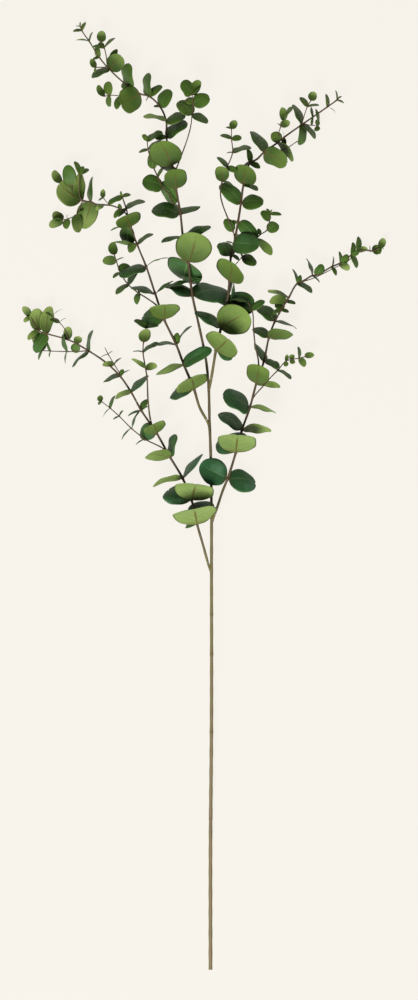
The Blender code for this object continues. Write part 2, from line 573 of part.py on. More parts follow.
def blade(base, length, ratio, along, up, grow=0.0):
    """(vertices, faces) of one leaf: a thin bowed lens, sharp at its rim."""
    width = ratio * length
    across = np.cross(along, up)
    rows = (0.11, 0.48, 0.86) if length > BIG_LEAF else (0.24, 0.76)
    bow = BLADE_BOW

    def place(u, v, lift):
        reach = length / bow * (math.sin(bow * (u - 0.5)) + math.sin(bow / 2))
        arch = length / bow * (math.cos(bow * (u - 0.5)) - math.cos(bow / 2))
        w = half_width(u)
        out = v * (0.5 * width * w + (grow if w else 0))
        drop = BLADE_CUP * width * v * v * w * w
        return base + reach * along + out * across + (arch - drop + lift) * up

    thick = LEAF_HALF_THICKNESS + grow
    verts = [place(0, 0, 0) - grow * along, place(1, 0, 0) + grow * along]
    faces = []
    for u in rows:
        verts += [place(u, -1, 0), place(u, 0, thick), place(u, 1, 0), place(u, 0, -thick)]
    for i in range(len(rows) - 1):
        a, b = 2 + 4 * i, 6 + 4 * i
        for k in range(4):
            j = (k + 1) % 4
            faces.append((a + k, a + j, b + j, b + k))
    first, last = 2, 2 + 4 * (len(rows) - 1)
    for k in range(4):
        j = (k + 1) % 4
        faces.append((0, first + j, first + k))
        faces.append((1, last + k, last + j))
    return np.array(verts), faces


def tree_of(solid):
    verts, faces = solid
    return BVHTree.FromPolygons([tuple(v) for v in verts], faces)


# ------------------------------------------------------------------------------- leaves
class Leaf:
    def __init__(self, owner, station, place, direction, stem_radius, free, numbers):
        self.owner = owner  # the node that it belongs to
        self.station = station  # leaves of one station may touch at their bases
        self.place, self.direction = place, direction
        self.stem_radius = stem_radius
        self.free = free  # true where its node is not the stem's node
        self.heading, self.length, self.rise, self.turn = numbers[:4]
        self.ratio = numbers[4] if len(numbers) > 4 else usual_ratio(self.length)
        self.settled = None
        if self.rise is TOUCH:
            self.rise = self.resting_rise()

    def resting_rise(self):
        """The rise at which the blade just touches the table."""
        high, low = 0.0, -80.0
        for _ in range(24):
            self.rise = (high + low) / 2
            if self.solid()[0][:, 2].min() > 0:
                high = self.rise
            else:
                low = self.rise
        return high

    def base(self, along, up, seat):
        """Where the midrib starts: on the stem's middle, or in the wall of its collar."""
        if not self.free:
            return self.place
        d = self.direction
        reach = self.stem_radius + COLLAR_GAP + 0.45
        towards = (along, up, -up)[seat]
        flat = towards - d * (towards @ d)
        return self.place + reach * unit(flat)

    def ratio_after(self, turn):
        """Width over length. A blade that turns to lie flatter gets narrower, so that its
        outline from above stays the same."""
        before, after = (abs(math.cos(math.radians(t))) for t in (self.turn, self.turn + turn))
        return self.ratio * min(1.0, max(0.4, before / max(after, 0.1)))

    def solid(self, change=(0, 0, 0, 0), grow=0.0):
        heading, rise, turn, seat = change
        along, up = blade_axes(
            self.heading + heading, self.rise + rise, self.turn + turn, self.direction
        )
        base = self.base(along, up, seat)
        return blade(base, self.length, self.ratio_after(turn), along, up, grow)


def changes():
    """Small turns that a leaf may take to clear its neighbours, the smallest first."""
    found = []
    for rise in (0, 5, -5, 10, -10, 16, -16, 23, -23, 30, -30, 40, -40, 52, -52):
        for heading in (0, 4, -4, 9, -9, 15, -15, 24, -24):
            for turn in (0, 10, -10, 22, -22, 36, -36, 52, -52):
                for seat in (0, 1, 2):
                    cost = abs(rise) / 5 + abs(heading) / 4 + abs(turn) / 12 + 0.5 * seat
                    found.append((cost, abs(rise), (heading, rise, turn, seat)))
    return [change for _, _, change in sorted(found)]


def box_of(verts):
    return verts.min(axis=0), verts.max(axis=0)


def apart(a, b):
    return bool((a[0] > b[1]).any() or (b[0] > a[1]).any())


def settle_leaves(leaves, obstacles):
    """Turns each leaf a little until it clears the stems, the collars, the other leaves and
    the table. The large leaves go first, so that they keep their place."""
    options = changes()
    taken = list(obstacles)  # (box, tree, node, station)
    for leaf in sorted(leaves, key=lambda f: (-f.length, f.owner, f.heading)):
        for change in options:
            if change[3] and not leaf.free:
                continue
            verts, faces = leaf.solid(change, LEAF_GAP)
            exact = leaf.solid(change)
            if exact[0][:, 2].min() < 0:
                continue
            box = box_of(verts)
            tree = None
            for other_box, other, owner, station in taken:
                if station == leaf.station or apart(box, other_box):
                    continue
                if not leaf.free and owner == leaf.owner and station is None:
                    continue
                tree = tree or tree_of((verts, faces))
                if tree.overlap(other):
                    break
            else:
                leaf.settled = change
                taken.append((box_of(exact[0]), tree_of(exact), leaf.owner, leaf.station))
                break
        if leaf.settled is None:
            print("no clear place for", leaf.owner, leaf.station, leaf.heading, leaf.length)
            leaf.settled = (0, 0, 0, 0)


# -------------------------------------------------------------------------------- scene
def material(name):
    colour, roughness = COLOURS[name]
    made = bpy.data.materials.new(name)
    made.use_nodes = True
    shader = made.node_tree.nodes["Principled BSDF"]
    shader.inputs["Base Color"].default_value = (*colour, 1)
    shader.inputs["Roughness"].default_value = roughness
    shader.inputs["Metallic"].default_value = 0.0
    made.diffuse_color = (*colour, 1)
    return made


def mesh_object(name, solid, offset, collection):
    verts, faces = solid
    mesh = bpy.data.meshes.new(name)
    mesh.from_pydata([tuple((v - offset) * MM) for v in verts], [], faces)
    mesh.update()
    made = bpy.data.objects.new(name, mesh)
    collection.objects.link(made)
    return made


def build_node(name, solids, look, offset):
    """One closed body from solids that overlap each other."""
    scene = bpy.context.scene.collection
    body = mesh_object(name, solids[0], offset, scene)
    body.data.materials.append(material(look))
    if len(solids) == 1:
        return body
    helpers = bpy.data.collections.new(name + "_parts")
    scene.children.link(helpers)
    helpers.hide_render = True
    for i, solid in enumerate(solids[1:]):
        helper = mesh_object(f"{name}_part_{i}", solid, offset, helpers)
        helper.hide_render = True
        helper.display_type = "WIRE"
    join = body.modifiers.new("join", "BOOLEAN")
    join.operation = "UNION"
    join.operand_type = "COLLECTION"
    join.collection = helpers
    join.solver = "EXACT"
    return body


def main():
    for old in list(bpy.data.objects):
        bpy.data.objects.remove(old)

    stems = {}
    for name, (parent, r0, r1, points) in STEMS.items():
        stems[name] = Stem(name, stems.get(parent), r0, r1, points)

    nodes = {}  # node name: [look, solids]
    obstacles = []
    leaves = []

    def bar(node, stem, start, end, grow=1.0):
        """The stem from start to end as a bar, for a node and for the leaves to clear."""
        curve = part_of(stem.curve, start, end)
        radius_at = lambda s: grow * stem.radius(start + s)
        nodes[node][1].append(tube(curve, radius_at))
        fat = tube(curve, lambda s: radius_at(s) + 0.1)
        obstacles.append((box_of(fat[0]), tree_of(fat), node, None))

    for name, stem in stems.items():
        split = stem.tip_from()
        home = GROWN_INTO.get(name, name)
        if split:
            nodes[name] = ["bark", []]
            nodes[TIP_NAMES[name]] = ["young_leaf", []]
            start = stem.clear_from + JOINT_GAP if stem.parent else 0.0
            bar(name, stem, start, split - JOINT_GAP / 2)
            bar(TIP_NAMES[name], stem, split + JOINT_GAP / 2, stem.length)
        elif home == name:
            nodes[name] = ["young_leaf", []]
            bar(name, stem, stem.clear_from + JOINT_GAP, stem.length)
        else:
            bar(home, stem, 0.0, stem.length)
        if stem.parent and home == name:
            # Its parent carries a short stub that ends just before it starts.
            owner = GROWN_INTO.get(stem.parent.name, stem.parent.name)
            bar(owner, stem, 0.0, stem.clear_from)

        whorl = 0
        for length, group in stem.stations:
            place, ahead = point_at(stem.curve, length), stem.direction(length)
            radius = stem.radius(length)
            free = bool(split) and length < split
            owner = home
            if split and not free:
                owner = TIP_NAMES[name]
            if free:
                whorl += 1
                owner = f"{name}_leaves_{whorl}"
                look = "old_leaf" if place[1] < 110 else "mid_leaf"
                nodes[owner] = [look, [collar(place, ahead, radius)]]
                fat = collar(place, ahead, radius, grow=0.1)
                obstacles.append((box_of(fat[0]), tree_of(fat), owner, (name, length)))
            for numbers in group:
                leaves.append(
                    Leaf(owner, (name, length), place, ahead, radius, free, numbers)
                )

    settle_leaves(leaves, obstacles)
    for leaf in leaves:
        nodes[leaf.owner][1].append(leaf.solid(leaf.settled))

    every = np.vstack([solid[0] for _, solids in nodes.values() for solid in solids])
    low, high = every.min(axis=0), every.max(axis=0)
    offset = np.array([(low[0] + high[0]) / 2, (low[1] + high[1]) / 2, low[2]])
    for name, (look, solids) in nodes.items():
        build_node(name, solids, look, offset)

    print("nodes", len(nodes), "leaves", len(leaves))
    print("size mm", np.round(high - low, 2), "offset mm", np.round(offset, 4))
    moved = [f for f in leaves if f.settled != (0, 0, 0, 0)]
    print("leaves turned aside", len(moved), "of which far",
          sum(1 for f in moved if abs(f.settled[1]) > 16 or abs(f.settled[2]) > 22))
    lowest = sorted((float(f.solid(f.settled)[0][:, 2].min()), f.owner) for f in leaves)
    print("lowest leaves", [(round(z, 2), owner) for z, owner in lowest[:12]])


main()
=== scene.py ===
# %% [markdown]
# # A cut branch of silver dollar eucalyptus
#
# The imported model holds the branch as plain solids: bars for the stems, and a thin lens
# for each leaf. This script grows the branch again in detail, in the same places, and lets
# each detailed piece stand for its solid. It goes in four steps: work out where every stem
# and leaf is, make the materials and a few good leaves, let Geometry Nodes put the leaves on
# the twigs, and add the table and the light.

# %% Setup
import json
import math

import bpy
import numpy as np
from mathutils import Matrix, Vector
from mathutils.bvhtree import BVHTree

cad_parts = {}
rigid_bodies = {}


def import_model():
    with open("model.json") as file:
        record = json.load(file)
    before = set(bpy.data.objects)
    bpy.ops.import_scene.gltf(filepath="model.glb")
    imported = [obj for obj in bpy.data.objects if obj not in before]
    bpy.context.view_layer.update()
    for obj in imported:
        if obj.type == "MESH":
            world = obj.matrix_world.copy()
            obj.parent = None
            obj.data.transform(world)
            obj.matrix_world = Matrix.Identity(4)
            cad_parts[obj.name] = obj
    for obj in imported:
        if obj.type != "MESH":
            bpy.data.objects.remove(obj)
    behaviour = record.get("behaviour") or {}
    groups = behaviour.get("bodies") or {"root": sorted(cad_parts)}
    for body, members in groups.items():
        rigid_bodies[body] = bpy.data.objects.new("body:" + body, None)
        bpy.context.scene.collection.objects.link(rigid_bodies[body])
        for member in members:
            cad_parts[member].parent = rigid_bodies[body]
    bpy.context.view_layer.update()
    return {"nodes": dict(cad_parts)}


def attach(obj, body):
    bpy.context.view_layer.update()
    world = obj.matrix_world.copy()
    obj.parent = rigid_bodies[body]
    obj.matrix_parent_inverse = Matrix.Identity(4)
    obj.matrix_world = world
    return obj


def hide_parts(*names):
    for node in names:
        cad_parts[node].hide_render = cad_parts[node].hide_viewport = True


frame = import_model()

MM = 0.001
# The places below are in mm from a point on the table near the middle of the branch. The
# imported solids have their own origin, at this place.
ORIGIN = np.array([4.10313056509915, 3.810238575182325, -0.008354571608333972])
rng = np.random.RandomState(7)

# %% [markdown]
# ## Camera
#
# The branch lies on a table and the camera looks straight down on it with a long lens, so
# that stems at different heights keep their proportions. One metre of table fills the
# long side of the frame.

# %% Camera
CAMERA_HEIGHT = 5.556
FRAMED_LENGTH = 1.0  # metres of branch along the long side, at the height of the crown
CROWN_HEIGHT = 0.030
CAMERA_OVER = (0.0049, -0.0038)
SENSOR = 36.0

camera_data = bpy.data.cameras.new("camera")
camera_data.type = "PERSP"
camera_data.sensor_fit = "AUTO"
camera_data.sensor_width = SENSOR
camera_data.lens = SENSOR * (CAMERA_HEIGHT - CROWN_HEIGHT) / FRAMED_LENGTH
camera_data.clip_end = 30.0
camera = bpy.data.objects.new("camera", camera_data)
camera.location = (*CAMERA_OVER, CAMERA_HEIGHT)
bpy.context.scene.collection.objects.link(camera)
bpy.context.scene.camera = camera
print("lens", round(camera_data.lens, 1), "mm")

# %% [markdown]
# ## How the branch grows
#
# Each stem has a parent, a radius at its start and at its tip, and its points: x, y and
# relative height in mm, then the leaves that grow there. A leaf is its heading in degrees
# (0 is +X, 90 is +Y), its length, its rise above the horizontal and its turn about its own
# midrib (0 shows its upper face from above, 180 its lower face, 90 its rim). Where its width
# divided by its length isn't the usual one, that comes next. A last number of 1 or 2 seats
# it on the side of its stem that its upper or its lower face looks to. Leaves come in pairs,
# each pair about a quarter turn from the last, smaller and closer towards the tips.

# %% The table of stems
STEMS = {
    "main_stem": (None, 1.95, 0.5, [
        (10.5, -472, 2.3),
        (10.5, -350, 6.5),
        (11.5, -220, 15),
        (11.5, -67, 25),
        (11.5, -18, 29),
        (10.8, 42, 33),
        (9.5, 80, 34),
        (8.5, 115, 34),
        (6, 140, 34),
        (-0.5, 172, 35),
        (-7.5, 204, 36, (151, 32.8, -32, 66, 0.97), (7, 39.9, -25, 58, 0.99)),
        (-9.5, 218, 36, (195, 23.1, 2, 78, 0.94), (15, 10.7, -15, 80, 0.75)),
        (-11.7, 238, 36, (76, 33, 22, 180, 1.1), (250, 33, -57, 14, 1.2)),
        (-17, 263, 35, (196, 22.4, 15, 67, 0.6045), (20, 29.5, 4, 62, 0.65164)),
        (-19.5, 286, 34, (169, 29.3, -11, 53, 0.97), (30, 25.5, -44, 65, 0.88)),
        (-24, 312, 33, (93, 24.6, 38, 176, 0.95), (212, 26.8, -59, 0, 0.99)),
        (-28, 335, 31, (120, 31.7, 30, 156, 1), (247, 24, -75, 0, 0.94)),
        (-33.5, 363, 29, (38, 26.6, -1, 57, 0.95), (185, 11.7, -3, 48, 0.82)),
        (-34, 380, 27, (170, 24.1, 7, 99, 0.96), (8, 22.1, 23, 53, 0.88)),
        (-40, 394, 25, (54, 20.6, 12, 46, 0.99), (176, 7, -16, 50, 0.72)),
        (-51, 404.5, 23,
         (93, 24.5, -4, 65, 0.87), (40, 17.6, -9, 41, 0.62), (242, 7, 19, 100, 0.65)),
        (-60, 407, 22, (213, 25.5, 23, 156, 1.1)),
        (-69, 412.5, 21, (99, 26.5, 2, 62, 0.94), (126, 17.6, -48, 15, 0.83)),
        (-91, 432, 18,
         (206, 20.2, 1, 61, 0.86), (45, 19.3, 18, 179, 0.95), (68, 23.1, -12, 132, 0.45)),
        (-101, 444, 16, (101, 13.1, -3, 53, 0.77), (196, 7.3, -10, 48, 0.67)),
        (-111, 460, 14, (175, 14, 5, 95, 0.67981), (71, 10.5, 2, 72, 0.73)),
        (-118.5, 471, 13, (184, 9.3, -4, 56, 0.73), (67, 9.8, -8, 55, 0.72)),
        (-120, 475, 13, (86, 5.3, 32, 59, 0.63), (171, 5.5, -20, 66, 0.61)),
    ]),
    "leader_twig_top": ("main_stem", 0.6, 0.4, [
        (-92.5, 434, 18),
        (-94, 445, 21),
        (-96, 453, 22, (41, 15.3, 11, 71, 0.78), (172, 11.9, -1, 62, 0.79)),
        (-99, 459, 22, (87, 11.6, 3, 177, 0.79), (273, 7.5, 31, 165, 0.88)),
    ]),
    "leader_twig_side": ("main_stem", 0.6, 0.4, [
        (-93, 434, 18),
        (-98, 434, 17),
        (-104.5, 434, 17, (122, 10, 16, 158, 0.71), (263, 5.9, -3, 51, 0.65)),
        (-106, 434, 17),
    ]),
    "leader_twig_low": ("main_stem", 0.6, 0.4, [
        (-65, 409, 21),
        (-78, 405.5, 18, (246, 15.3, 0, 49, 0.8)),
        (-91, 406, 16, (93, 14.4, 8, 42, 0.87), (272, 12, -4, 52, 0.81)),
        (-96, 405, 15, (119, 13.3, 0, 141, 0.68)),
    ]),
    "leader_twig_right": ("main_stem", 0.7, 0.4, [
        (-25, 327, 32),
        (-19.5, 342, 36),
        (-12, 363, 41),
        (-9, 375, 43),
        (-8, 385, 43, (136, 20, -7, 40, 0.98), (332, 18.5, 3, 55, 0.86)),
        (-7, 396, 43, (21, 18.4, 3, 23, 0.88), (140, 11.5, -39, 19, 0.78)),
        (-8, 405, 43,
         (128, 17.7, 17, 31, 0.91), (61, 16.8, -1, 140, 0.77), (48, 13.8, -24, 61, 0.77)),
    ]),
    "leader_twig_left": ("main_stem", 0.9, 0.4, [
        (-27, 298, 33),
        (-31, 306, 30),
        (-38, 314, 27, (167, 21.4, 10, 30, 0.93), (201, 12.9, -48, 40, 0.78)),
        (-42, 323, 26, (60, 12.4, -1, 64, 0.71)),
        (-46, 332, 25, (100, 16.2, -4, 40, 0.76358)),
        (-52, 351, 24, (197, 9.9, -3, 57, 0.7), (35, 18, 0, 74, 0.82)),
        (-53, 360, 24, (127, 7.9, 4, 29, 0.78), (28, 18.4, 3, 58, 0.79)),
    ]),
    "shoot_left_low": ("main_stem", 1.3, 0.6, [
        (9.2, -67, 25),
        (3, -45, 27),
        (-3, -24, 29,
         (105, 42.8, 68, 174, 1.04), (72, 31.9, -38.9933, -27, 0.89633),
         (193, 15.2, -45, 49, 0.68)),
        (-8.5, 0, 30, (76, 36.3, 62, 175, 1.12), (155, 33.5, -39, 36, 0.97)),
        (-17.5, 22, 30, (195, 31, 14, 102, 0.94), (51, 31.6, -9, 79, 0.96)),
        (-30, 43, 29, (175, 28.2, 35, 119, 0.86), (81, 23.7, -2, 65, 0.87)),
        (-43.5, 67, 27, (107, 24.9, 67, 185, 0.95), (165, 22.1, -41, -1, 0.83101)),
        (-59, 90, 24,
         (68, 12.4, -17, 49, 0.84), (247, 19.7, -4, 81, 0.79), (203, 13.7, -7, 74, 0.67),
         (24, 8, 2, 73, 0.71)),
        (-69, 108, 22, (44, 25.2, -7, 74, 0.96), (201, 17.9, 12, 113, 0.81)),
        (-80, 124, 20,
         (199, 19.6, -18, 74, 0.99), (32, 12.5, -2, 82, 0.78), (66, 7.9, 2, 35, 0.76)),
        (-94, 137.5, 18),
        (-111, 149.2, 17, (81, 22.4, -5, 77, 0.94), (222, 24.7, -12.9798, 80, 0.95)),
        (-119, 154, 17),
        (-124, 157, 17, (64, 10.2, 40, 166, 0.82), (261, 10.7, -25, 11, 0.89)),
        (-133, 161, 16, (85, 13.8, 17, 183, 0.64383)),
        (-154, 167, 15, (82, 28.5, 7, 140, 0.6), (237, 23.5, -14, 34, 0.62)),
        (-162, 170, 14, (95, 23.1, 2, 165, 0.68), (220, 14.6, -10, 128, 0.69)),
        (-170, 184, 13, (128, 13.2, 13, 162, 0.58799), (219, 9.2, -16, 134, 0.76)),
    ]),
    "left_low_twig_tip": ("shoot_left_low", 0.6, 0.4, [
        (-112, 149.3, 17),
        (-122, 149, 15),
        (-133.5, 149, 13, (101, 18.5, 12, 70, 0.75), (263, 12.7, -8, 80, 0.82)),
        (-150, 149.5, 12, (110, 10.5, 0, 67, 0.74), (259, 6.6, 1, 69, 0.67)),
        (-158, 150, 11, (247, 10.6, -8, 69, 0.79), (112, 21.9, -14, 182, 0.57356)),
    ]),
    "left_low_twig_over": ("shoot_left_low", 0.5, 0.35, [
        (-131, 161, 17),
        (-136, 172, 19),
        (-141, 178, 20, (162, 10.2, -3, 50, 0.76), (32, 8.4, 5, 83, 0.74)),
        (-148, 184, 20, (36, 12.6, 0, 90, 0.236), (150, 8, 3, 60, 0.69)),
    ]),
    "left_low_twig_side": ("shoot_left_low", 0.7, 0.4, [
        (-35.5, 50.5, 28),
        (-55, 61, 22, (212, 11.4, 3, 75, 0.46)),
        (-69, 72, 19, (231, 15.4, -1, 76, 0.45)),
        (-81, 84, 17, (56, 7.5, 2, 66, 0.66), (209, 7.2, -1, 67, 0.65)),
        (-90, 92, 16, (70, 14.2, -9, 69, 0.74), (232, 12.3, -7, 83, 0.73)),
        (-99, 99, 15, (108, 6.4, 10, 153, 1.07), (229, 4.8, -6, 125, 0.99)),
    ]),
    "left_low_twig_up": ("shoot_left_low", 0.9, 0.45, [
        (-48.5, 76, 26),
        (-52, 100, 30),
        (-53, 122, 33),
        (-54.5, 132, 33, (147, 17.6, 13, 118, 0.52), (11, 12.2, -4, 133, 0.87)),
        (-57, 148, 33, (178, 10.5, -1, 79, 0.78), (27, 19.2, 11, 70, 0.8)),
        (-56.5, 158, 33, (75, 14.8, 21, 153, 0.88)),
        (-54, 172, 32,
         (146, 14.9, -3, 56, 0.74), (10, 13.2, -8, 59, 0.54273), (120, 10.5, -16, 41, 0.75)),
    ]),
    "left_low_twig_mid": ("shoot_left_low", 0.5, 0.35, [
        (-80, 126, 20),
        (-86, 136, 21, (183, 12.2, 3, 126, 0.79), (42, 10.5, -10, 76, 0.81)),
        (-92, 146, 22, (205, 9.2, -2, 82, 0.76), (35, 5.7, -1, 76, 0.66)),
        (-95, 152, 23),
    ]),
    "shoot_left_mid": ("main_stem", 1.4, 0.6, [
        (9, 74.5, 33),
        (-0.5, 93, 33),
        (-6, 111, 33, (108, 32.2, 69, 189, 1.05), (182, 31.1, -50.925, 45, 1.01)),
        (-16, 135, 32, (29, 34.6, 11, 31, 0.45584, 1), (199, 29.5, 11, 100, 1.04)),
        (-24, 156, 31,
         (184, 25.6, -8, 81, 0.97), (51, 23.7, 0, 82, 0.86), (95, 11.8, -8, 42, 0.82)),
        (-36, 181, 29, (87, 31.8, 64, 174, 0.95), (168, 28, -39, 22, 0.83)),
        (-45, 207, 27, (166, 24.7, 5, 72, 0.85), (34, 22.6, 19, 74, 0.396)),
        (-54, 234, 26, (202, 28.6, 9, 62, 0.85), (19, 24.2, 7, 89, 0.348)),
        (-63, 256, 25,
         (173, 23.4, -4, 96, 0.91), (35, 19, -8, 69, 0.79), (211, 13.1, -38, 22, 0.78)),
        (-69.5, 274, 24,
         (103, 25.7, 63, 191, 1.04), (257, 21.8, -36, -20, 0.79258), (192, 20.4, 0, 96, 0.45)),
        (-74, 292, 22, (22, 21.2, -9, 69, 0.89), (220, 14.4, -36, 21, 0.3617)),
        (-78, 304, 21, (205, 16.2, -8, 48, 0.59), (15, 9.2, -11, 49, 0.72), (104, 6, 2, 54, 0.71)),
    ]),
    "left_mid_twig_tip": ("shoot_left_mid", 0.9, 0.45, [
        (-72, 284, 23),
        (-79, 291, 22, (228, 11.2, -10, 41, 0.67), (112, 6.5, -3, 31, 0.71)),
        (-88, 295, 21),
        (-97, 296, 20, (216, 9.6, -17, 131, 0.79)),
        (-105, 297, 19),
        (-109, 299, 18, (87, 26.3, -5, 78, 1), (252, 31.9, -25.3576, 163, 0.69)),
        (-119, 300.5, 17, (92, 28.4, 3, 141, 0.51), (144, 29, 5, 159, 0.95)),
        (-129, 315, 16, (100, 22.3, 10, 9, 0.62485), (20, 10, -20, 38, 0.38071)),
        (-139, 318.5, 15, (125, 15, 9, 145, 0.74)),
    ]),
    "left_mid_twig_fork": ("left_mid_twig_tip", 0.6, 0.4, [
        (-118, 299, 17),
        (-121, 291, 16),
        (-123, 287, 15, (272, 19.5, 2, 145, 0.66), (32, 7, 2, 56, 0.68)),
        (-133, 282, 14, (264, 10.8, 13, 26, 0.77), (91, 4.8, 6, 76, 0.63)),
        (-138, 281, 14, (139, 12.4, -5, 148, 0.98), (209, 15.4, -12, 127, 0.94)),
    ]),
    "left_mid_twig_crown": ("left_mid_twig_tip", 0.6, 0.4, [
        (-119.5, 302, 18),
        (-121, 315, 21),
        (-120.5, 326, 23,
         (112, 14.8, 0, 52, 0.62), (29, 11.1, 0, 54, 0.8), (62, 9.6, 10, 46, 0.76)),
    ]),
    "left_mid_twig_bud": ("left_mid_twig_tip", 0.4, 0.35, [
        (-92, 297, 20),
        (-97, 303, 21, (91, 8.8, 12, 151, 0.68), (212, 5.7, 0, 58, 0.69)),
    ]),
    "left_mid_twig_side": ("shoot_left_mid", 0.8, 0.45, [
        (-41.5, 193, 28),
        (-53, 202, 24),
        (-61, 207, 22, (254, 11.9, -16, 49, 0.82), (64, 8.3, -34, 54, 0.72)),
        (-72, 216, 20, (219, 16.3, 6, 60, 0.77), (53, 16.7, 3, 64, 0.88)),
        (-80, 228, 19, (217, 9.4, 5, 55, 0.74), (49, 13.2, -25, 28, 0.92)),
        (-84, 240, 18, (182, 14.1, -1, 142, 0.84), (22, 8.3, -1, 75, 0.74)),
        (-86, 246, 18, (97, 13.1, 2, 147, 0.85)),
    ]),
    "shoot_right_low": ("main_stem", 1.3, 0.6, [
        (13.4, -18, 29),
        (17, -8, 30),
        (23, 10, 32),
        (27.5, 21, 33, (154, 31.5, 15, 19, 0.87802), (351, 29.5, -16, 44, 1.01)),
        (36, 48, 34, (84, 38, 62, 180, 1.05), (110, 32.8, -52.8543, 3, 1.04)),
        (42, 70, 34, (143, 28.7, -11, 60, 0.93), (0, 29.1, 6, 108, 0.95)),
        (50, 93, 33, (158, 30.8, 19, 53, 1.07), (347, 26.8, 12, 100, 0.87)),
        (56.5, 117, 32, (83, 26.4, 45, 195, 0.95), (351, 26.9, -27, 137, 0.3236)),
        (64, 139, 30, (111, 23.2, -32, 65, 0.88), (339, 16.1, -2, 57, 0.85)),
        (69, 162.5, 29, (145, 19.4, -25, 55, 0.93), (14, 25.2, 27, 117, 1.05)),
        (75, 179, 27, (135, 24.5, -22, 54, 0.95), (342, 23.2, -16, 82, 0.96)),
        (81, 190, 26,
         (349, 8.6, -8, 50, 0.75), (111, 12.4, -53, 21, 0.85), (199, 10.4, -20, 50, 0.71)),
        (86.5, 199, 24, (178, 18.4, 20, 133, 0.78), (345, 9.9, 8, 56, 0.79)),
        (89, 203, 25, (165, 23.9, -22, 99, 0.93)),
        (97.5, 217, 21, (108, 16, -9, 73, 0.71), (329, 18.1, -3, 64, 0.83), (69, 9.3, 0, 46, 0.77)),
        (104, 220, 20),
        (112.5, 225, 18, (109, 19, -2, 78, 0.85), (317, 10.5, -1, 75, 0.78)),
        (116.5, 225.5, 18, (62, 12.9, 12, 36, 0.89)),
        (132, 234, 13, (82, 11.2, -6, 77, 0.76), (298, 10.2, -4, 55, 0.74)),
        (141, 238, 10,
         (97, 11.9, 5, 65, 0.74), (317, 12.9, -30.1837, 134, 0.83), (46, 11.5, -1, 32, 0.82)),
        (152, 246, 9,
         (83, 13.3, 1, 52, 0.66), (293, 14.4, -3, 59, 0.83), (22, 8.8, 7, 15, 0.68494)),
        (158, 250, 9, (86, 15.2, -7, 48, 0.58), (13, 10.8, 4, 129, 0.85)),
        (170, 250.5, 9, (88, 5.1, -1, 74, 0.7), (310, 3, 2, 68, 0.63)),
        (173, 250, 9, (21, 10.3, -2, 157, 1.06)),
        (180, 253, 9,
         (64, 11.2, 7, 152, 0.75), (274, 6.9, 19, 23, 0.39726), (345, 5.5, 12, 58, 0.252)),
    ]),
    "right_low_twig_tip": ("shoot_right_low", 0.5, 0.35, [
        (105, 219.5, 20),
        (115, 223, 17),
        (131, 231, 12),
        (140, 235.5, 9),
        (150, 241, 8),
        (151.5, 243, 8, (60, 7, -40, 60, 0.68)),
    ]),
    "right_low_twig_side": ("shoot_right_low", 0.7, 0.4, [
        (52.5, 101, 33),
        (64, 115, 30),
        (72, 124, 29),
        (78, 130, 28, (325, 16.7, 9, 70, 0.81), (149, 11.8, -17, 70, 0.75)),
        (86, 139, 27, (80, 7, -3, 140, 0.74), (265, 5.5, 0, 147, 1.12)),
        (93, 141, 27, (118, 5.3, 3, 156, 1.18), (254, 5.1, 6, 157, 1.18)),
        (99, 142, 27, (95, 12, 3, 68, 0.86), (308, 10.8, 6, 143, 0.79)),
        (105, 143.5, 27, (14, 10.1, 18, 144, 0.76)),
    ]),
    "right_low_twig_up": ("shoot_right_low", 0.9, 0.45, [
        (57.8, 122, 33),
        (58.5, 138, 38),
        (55, 156, 41),
        (53.5, 172, 43),
        (52, 190, 45, (35, 15.8, 3, 43, 0.67476), (180, 20, 6, 32, 0.348)),
        (48, 197, 46, (172, 20, 18, 74, 0.348)),
    ]),
    "shoot_right_mid": ("main_stem", 1.4, 0.6, [
        (10.2, 116, 34),
        (13, 132, 36),
        (16, 150, 38, (46, 33.6, 61, 171, 1.06), (6, 26.3, -52, 6, 0.89)),
        (21, 172, 42, (148, 30.1, -2, 61, 0.71183), (30, 33.4, 16, 152, 1.11, 2)),
        (26.5, 194, 46,
         (9, 29.2, -15, 15, 0.88468), (155, 34.1, -27, 57, 0.408, 2),
         (81, 29.1, -11, 77, 0.45, 1)),
        (29.5, 219, 47, (90, 30.2, 49, 214, 1.04), (322, 28.4, -88, 23, 0.94)),
        (31, 244, 46, (121, 19.2, -29, 35, 0.98), (331, 9.5, -17, 52, 0.71, 1)),
        (34, 256, 45, (354, 29.7, 22, 25, 0.82023, 1), (166, 7.4, -5, 68, 0.68)),
        (38, 278, 43, (316, 25.5, 5, 4, 0.54522), (210, 11.3, -12, 23, 0.59917)),
        (41, 297, 41, (138, 28.9, 2, 35, 0.65823, 2), (2, 22.2, 7, 40, 0.9)),
        (43.5, 315, 39, (83, 24.6, 38, 160, 0.99), (339, 16.2, 6, 63, 0.83)),
        (44.5, 318, 39, (156, 8, -10, 120, 0.51696)),
        (50, 337, 36,
         (334, 11.6, 0, 41, 0.72), (212, 13.8, -39, 70, 0.73), (99, 14.3, 1, 42, 0.59)),
        (57, 341, 35),
        (64, 348, 34, (119, 26.5, -17, 61, 0.93), (332, 27.1, 9, 137, 0.88)),
        (78, 358, 30, (110, 11.8, -4, 15, 1.01), (308, 25, -4, 112, 0.73)),
        (84, 363, 29, (103, 7.3, -5, 88, 0.268), (263, 13.7, -29, 150, 0.45)),
        (102, 376, 25,
         (116, 22.9, 8, 69, 0.92), (315, 20.3, -9, 67, 0.9), (264, 21.2, -5, 61, 0.86)),
        (127.5, 394, 20, (96, 13.4, 3, 66, 0.8), (326, 10.7, 3, 83, 0.64)),
        (137, 401, 18, (98, 10.3, 6, 74, 0.74), (338, 8.4, -6, 65, 0.7)),
        (138, 402, 18, (35, 5.3, -4, 57, 0.64)),
    ]),
    "right_mid_twig_left": ("shoot_right_mid", 0.8, 0.4, [
        (34.5, 263, 45),
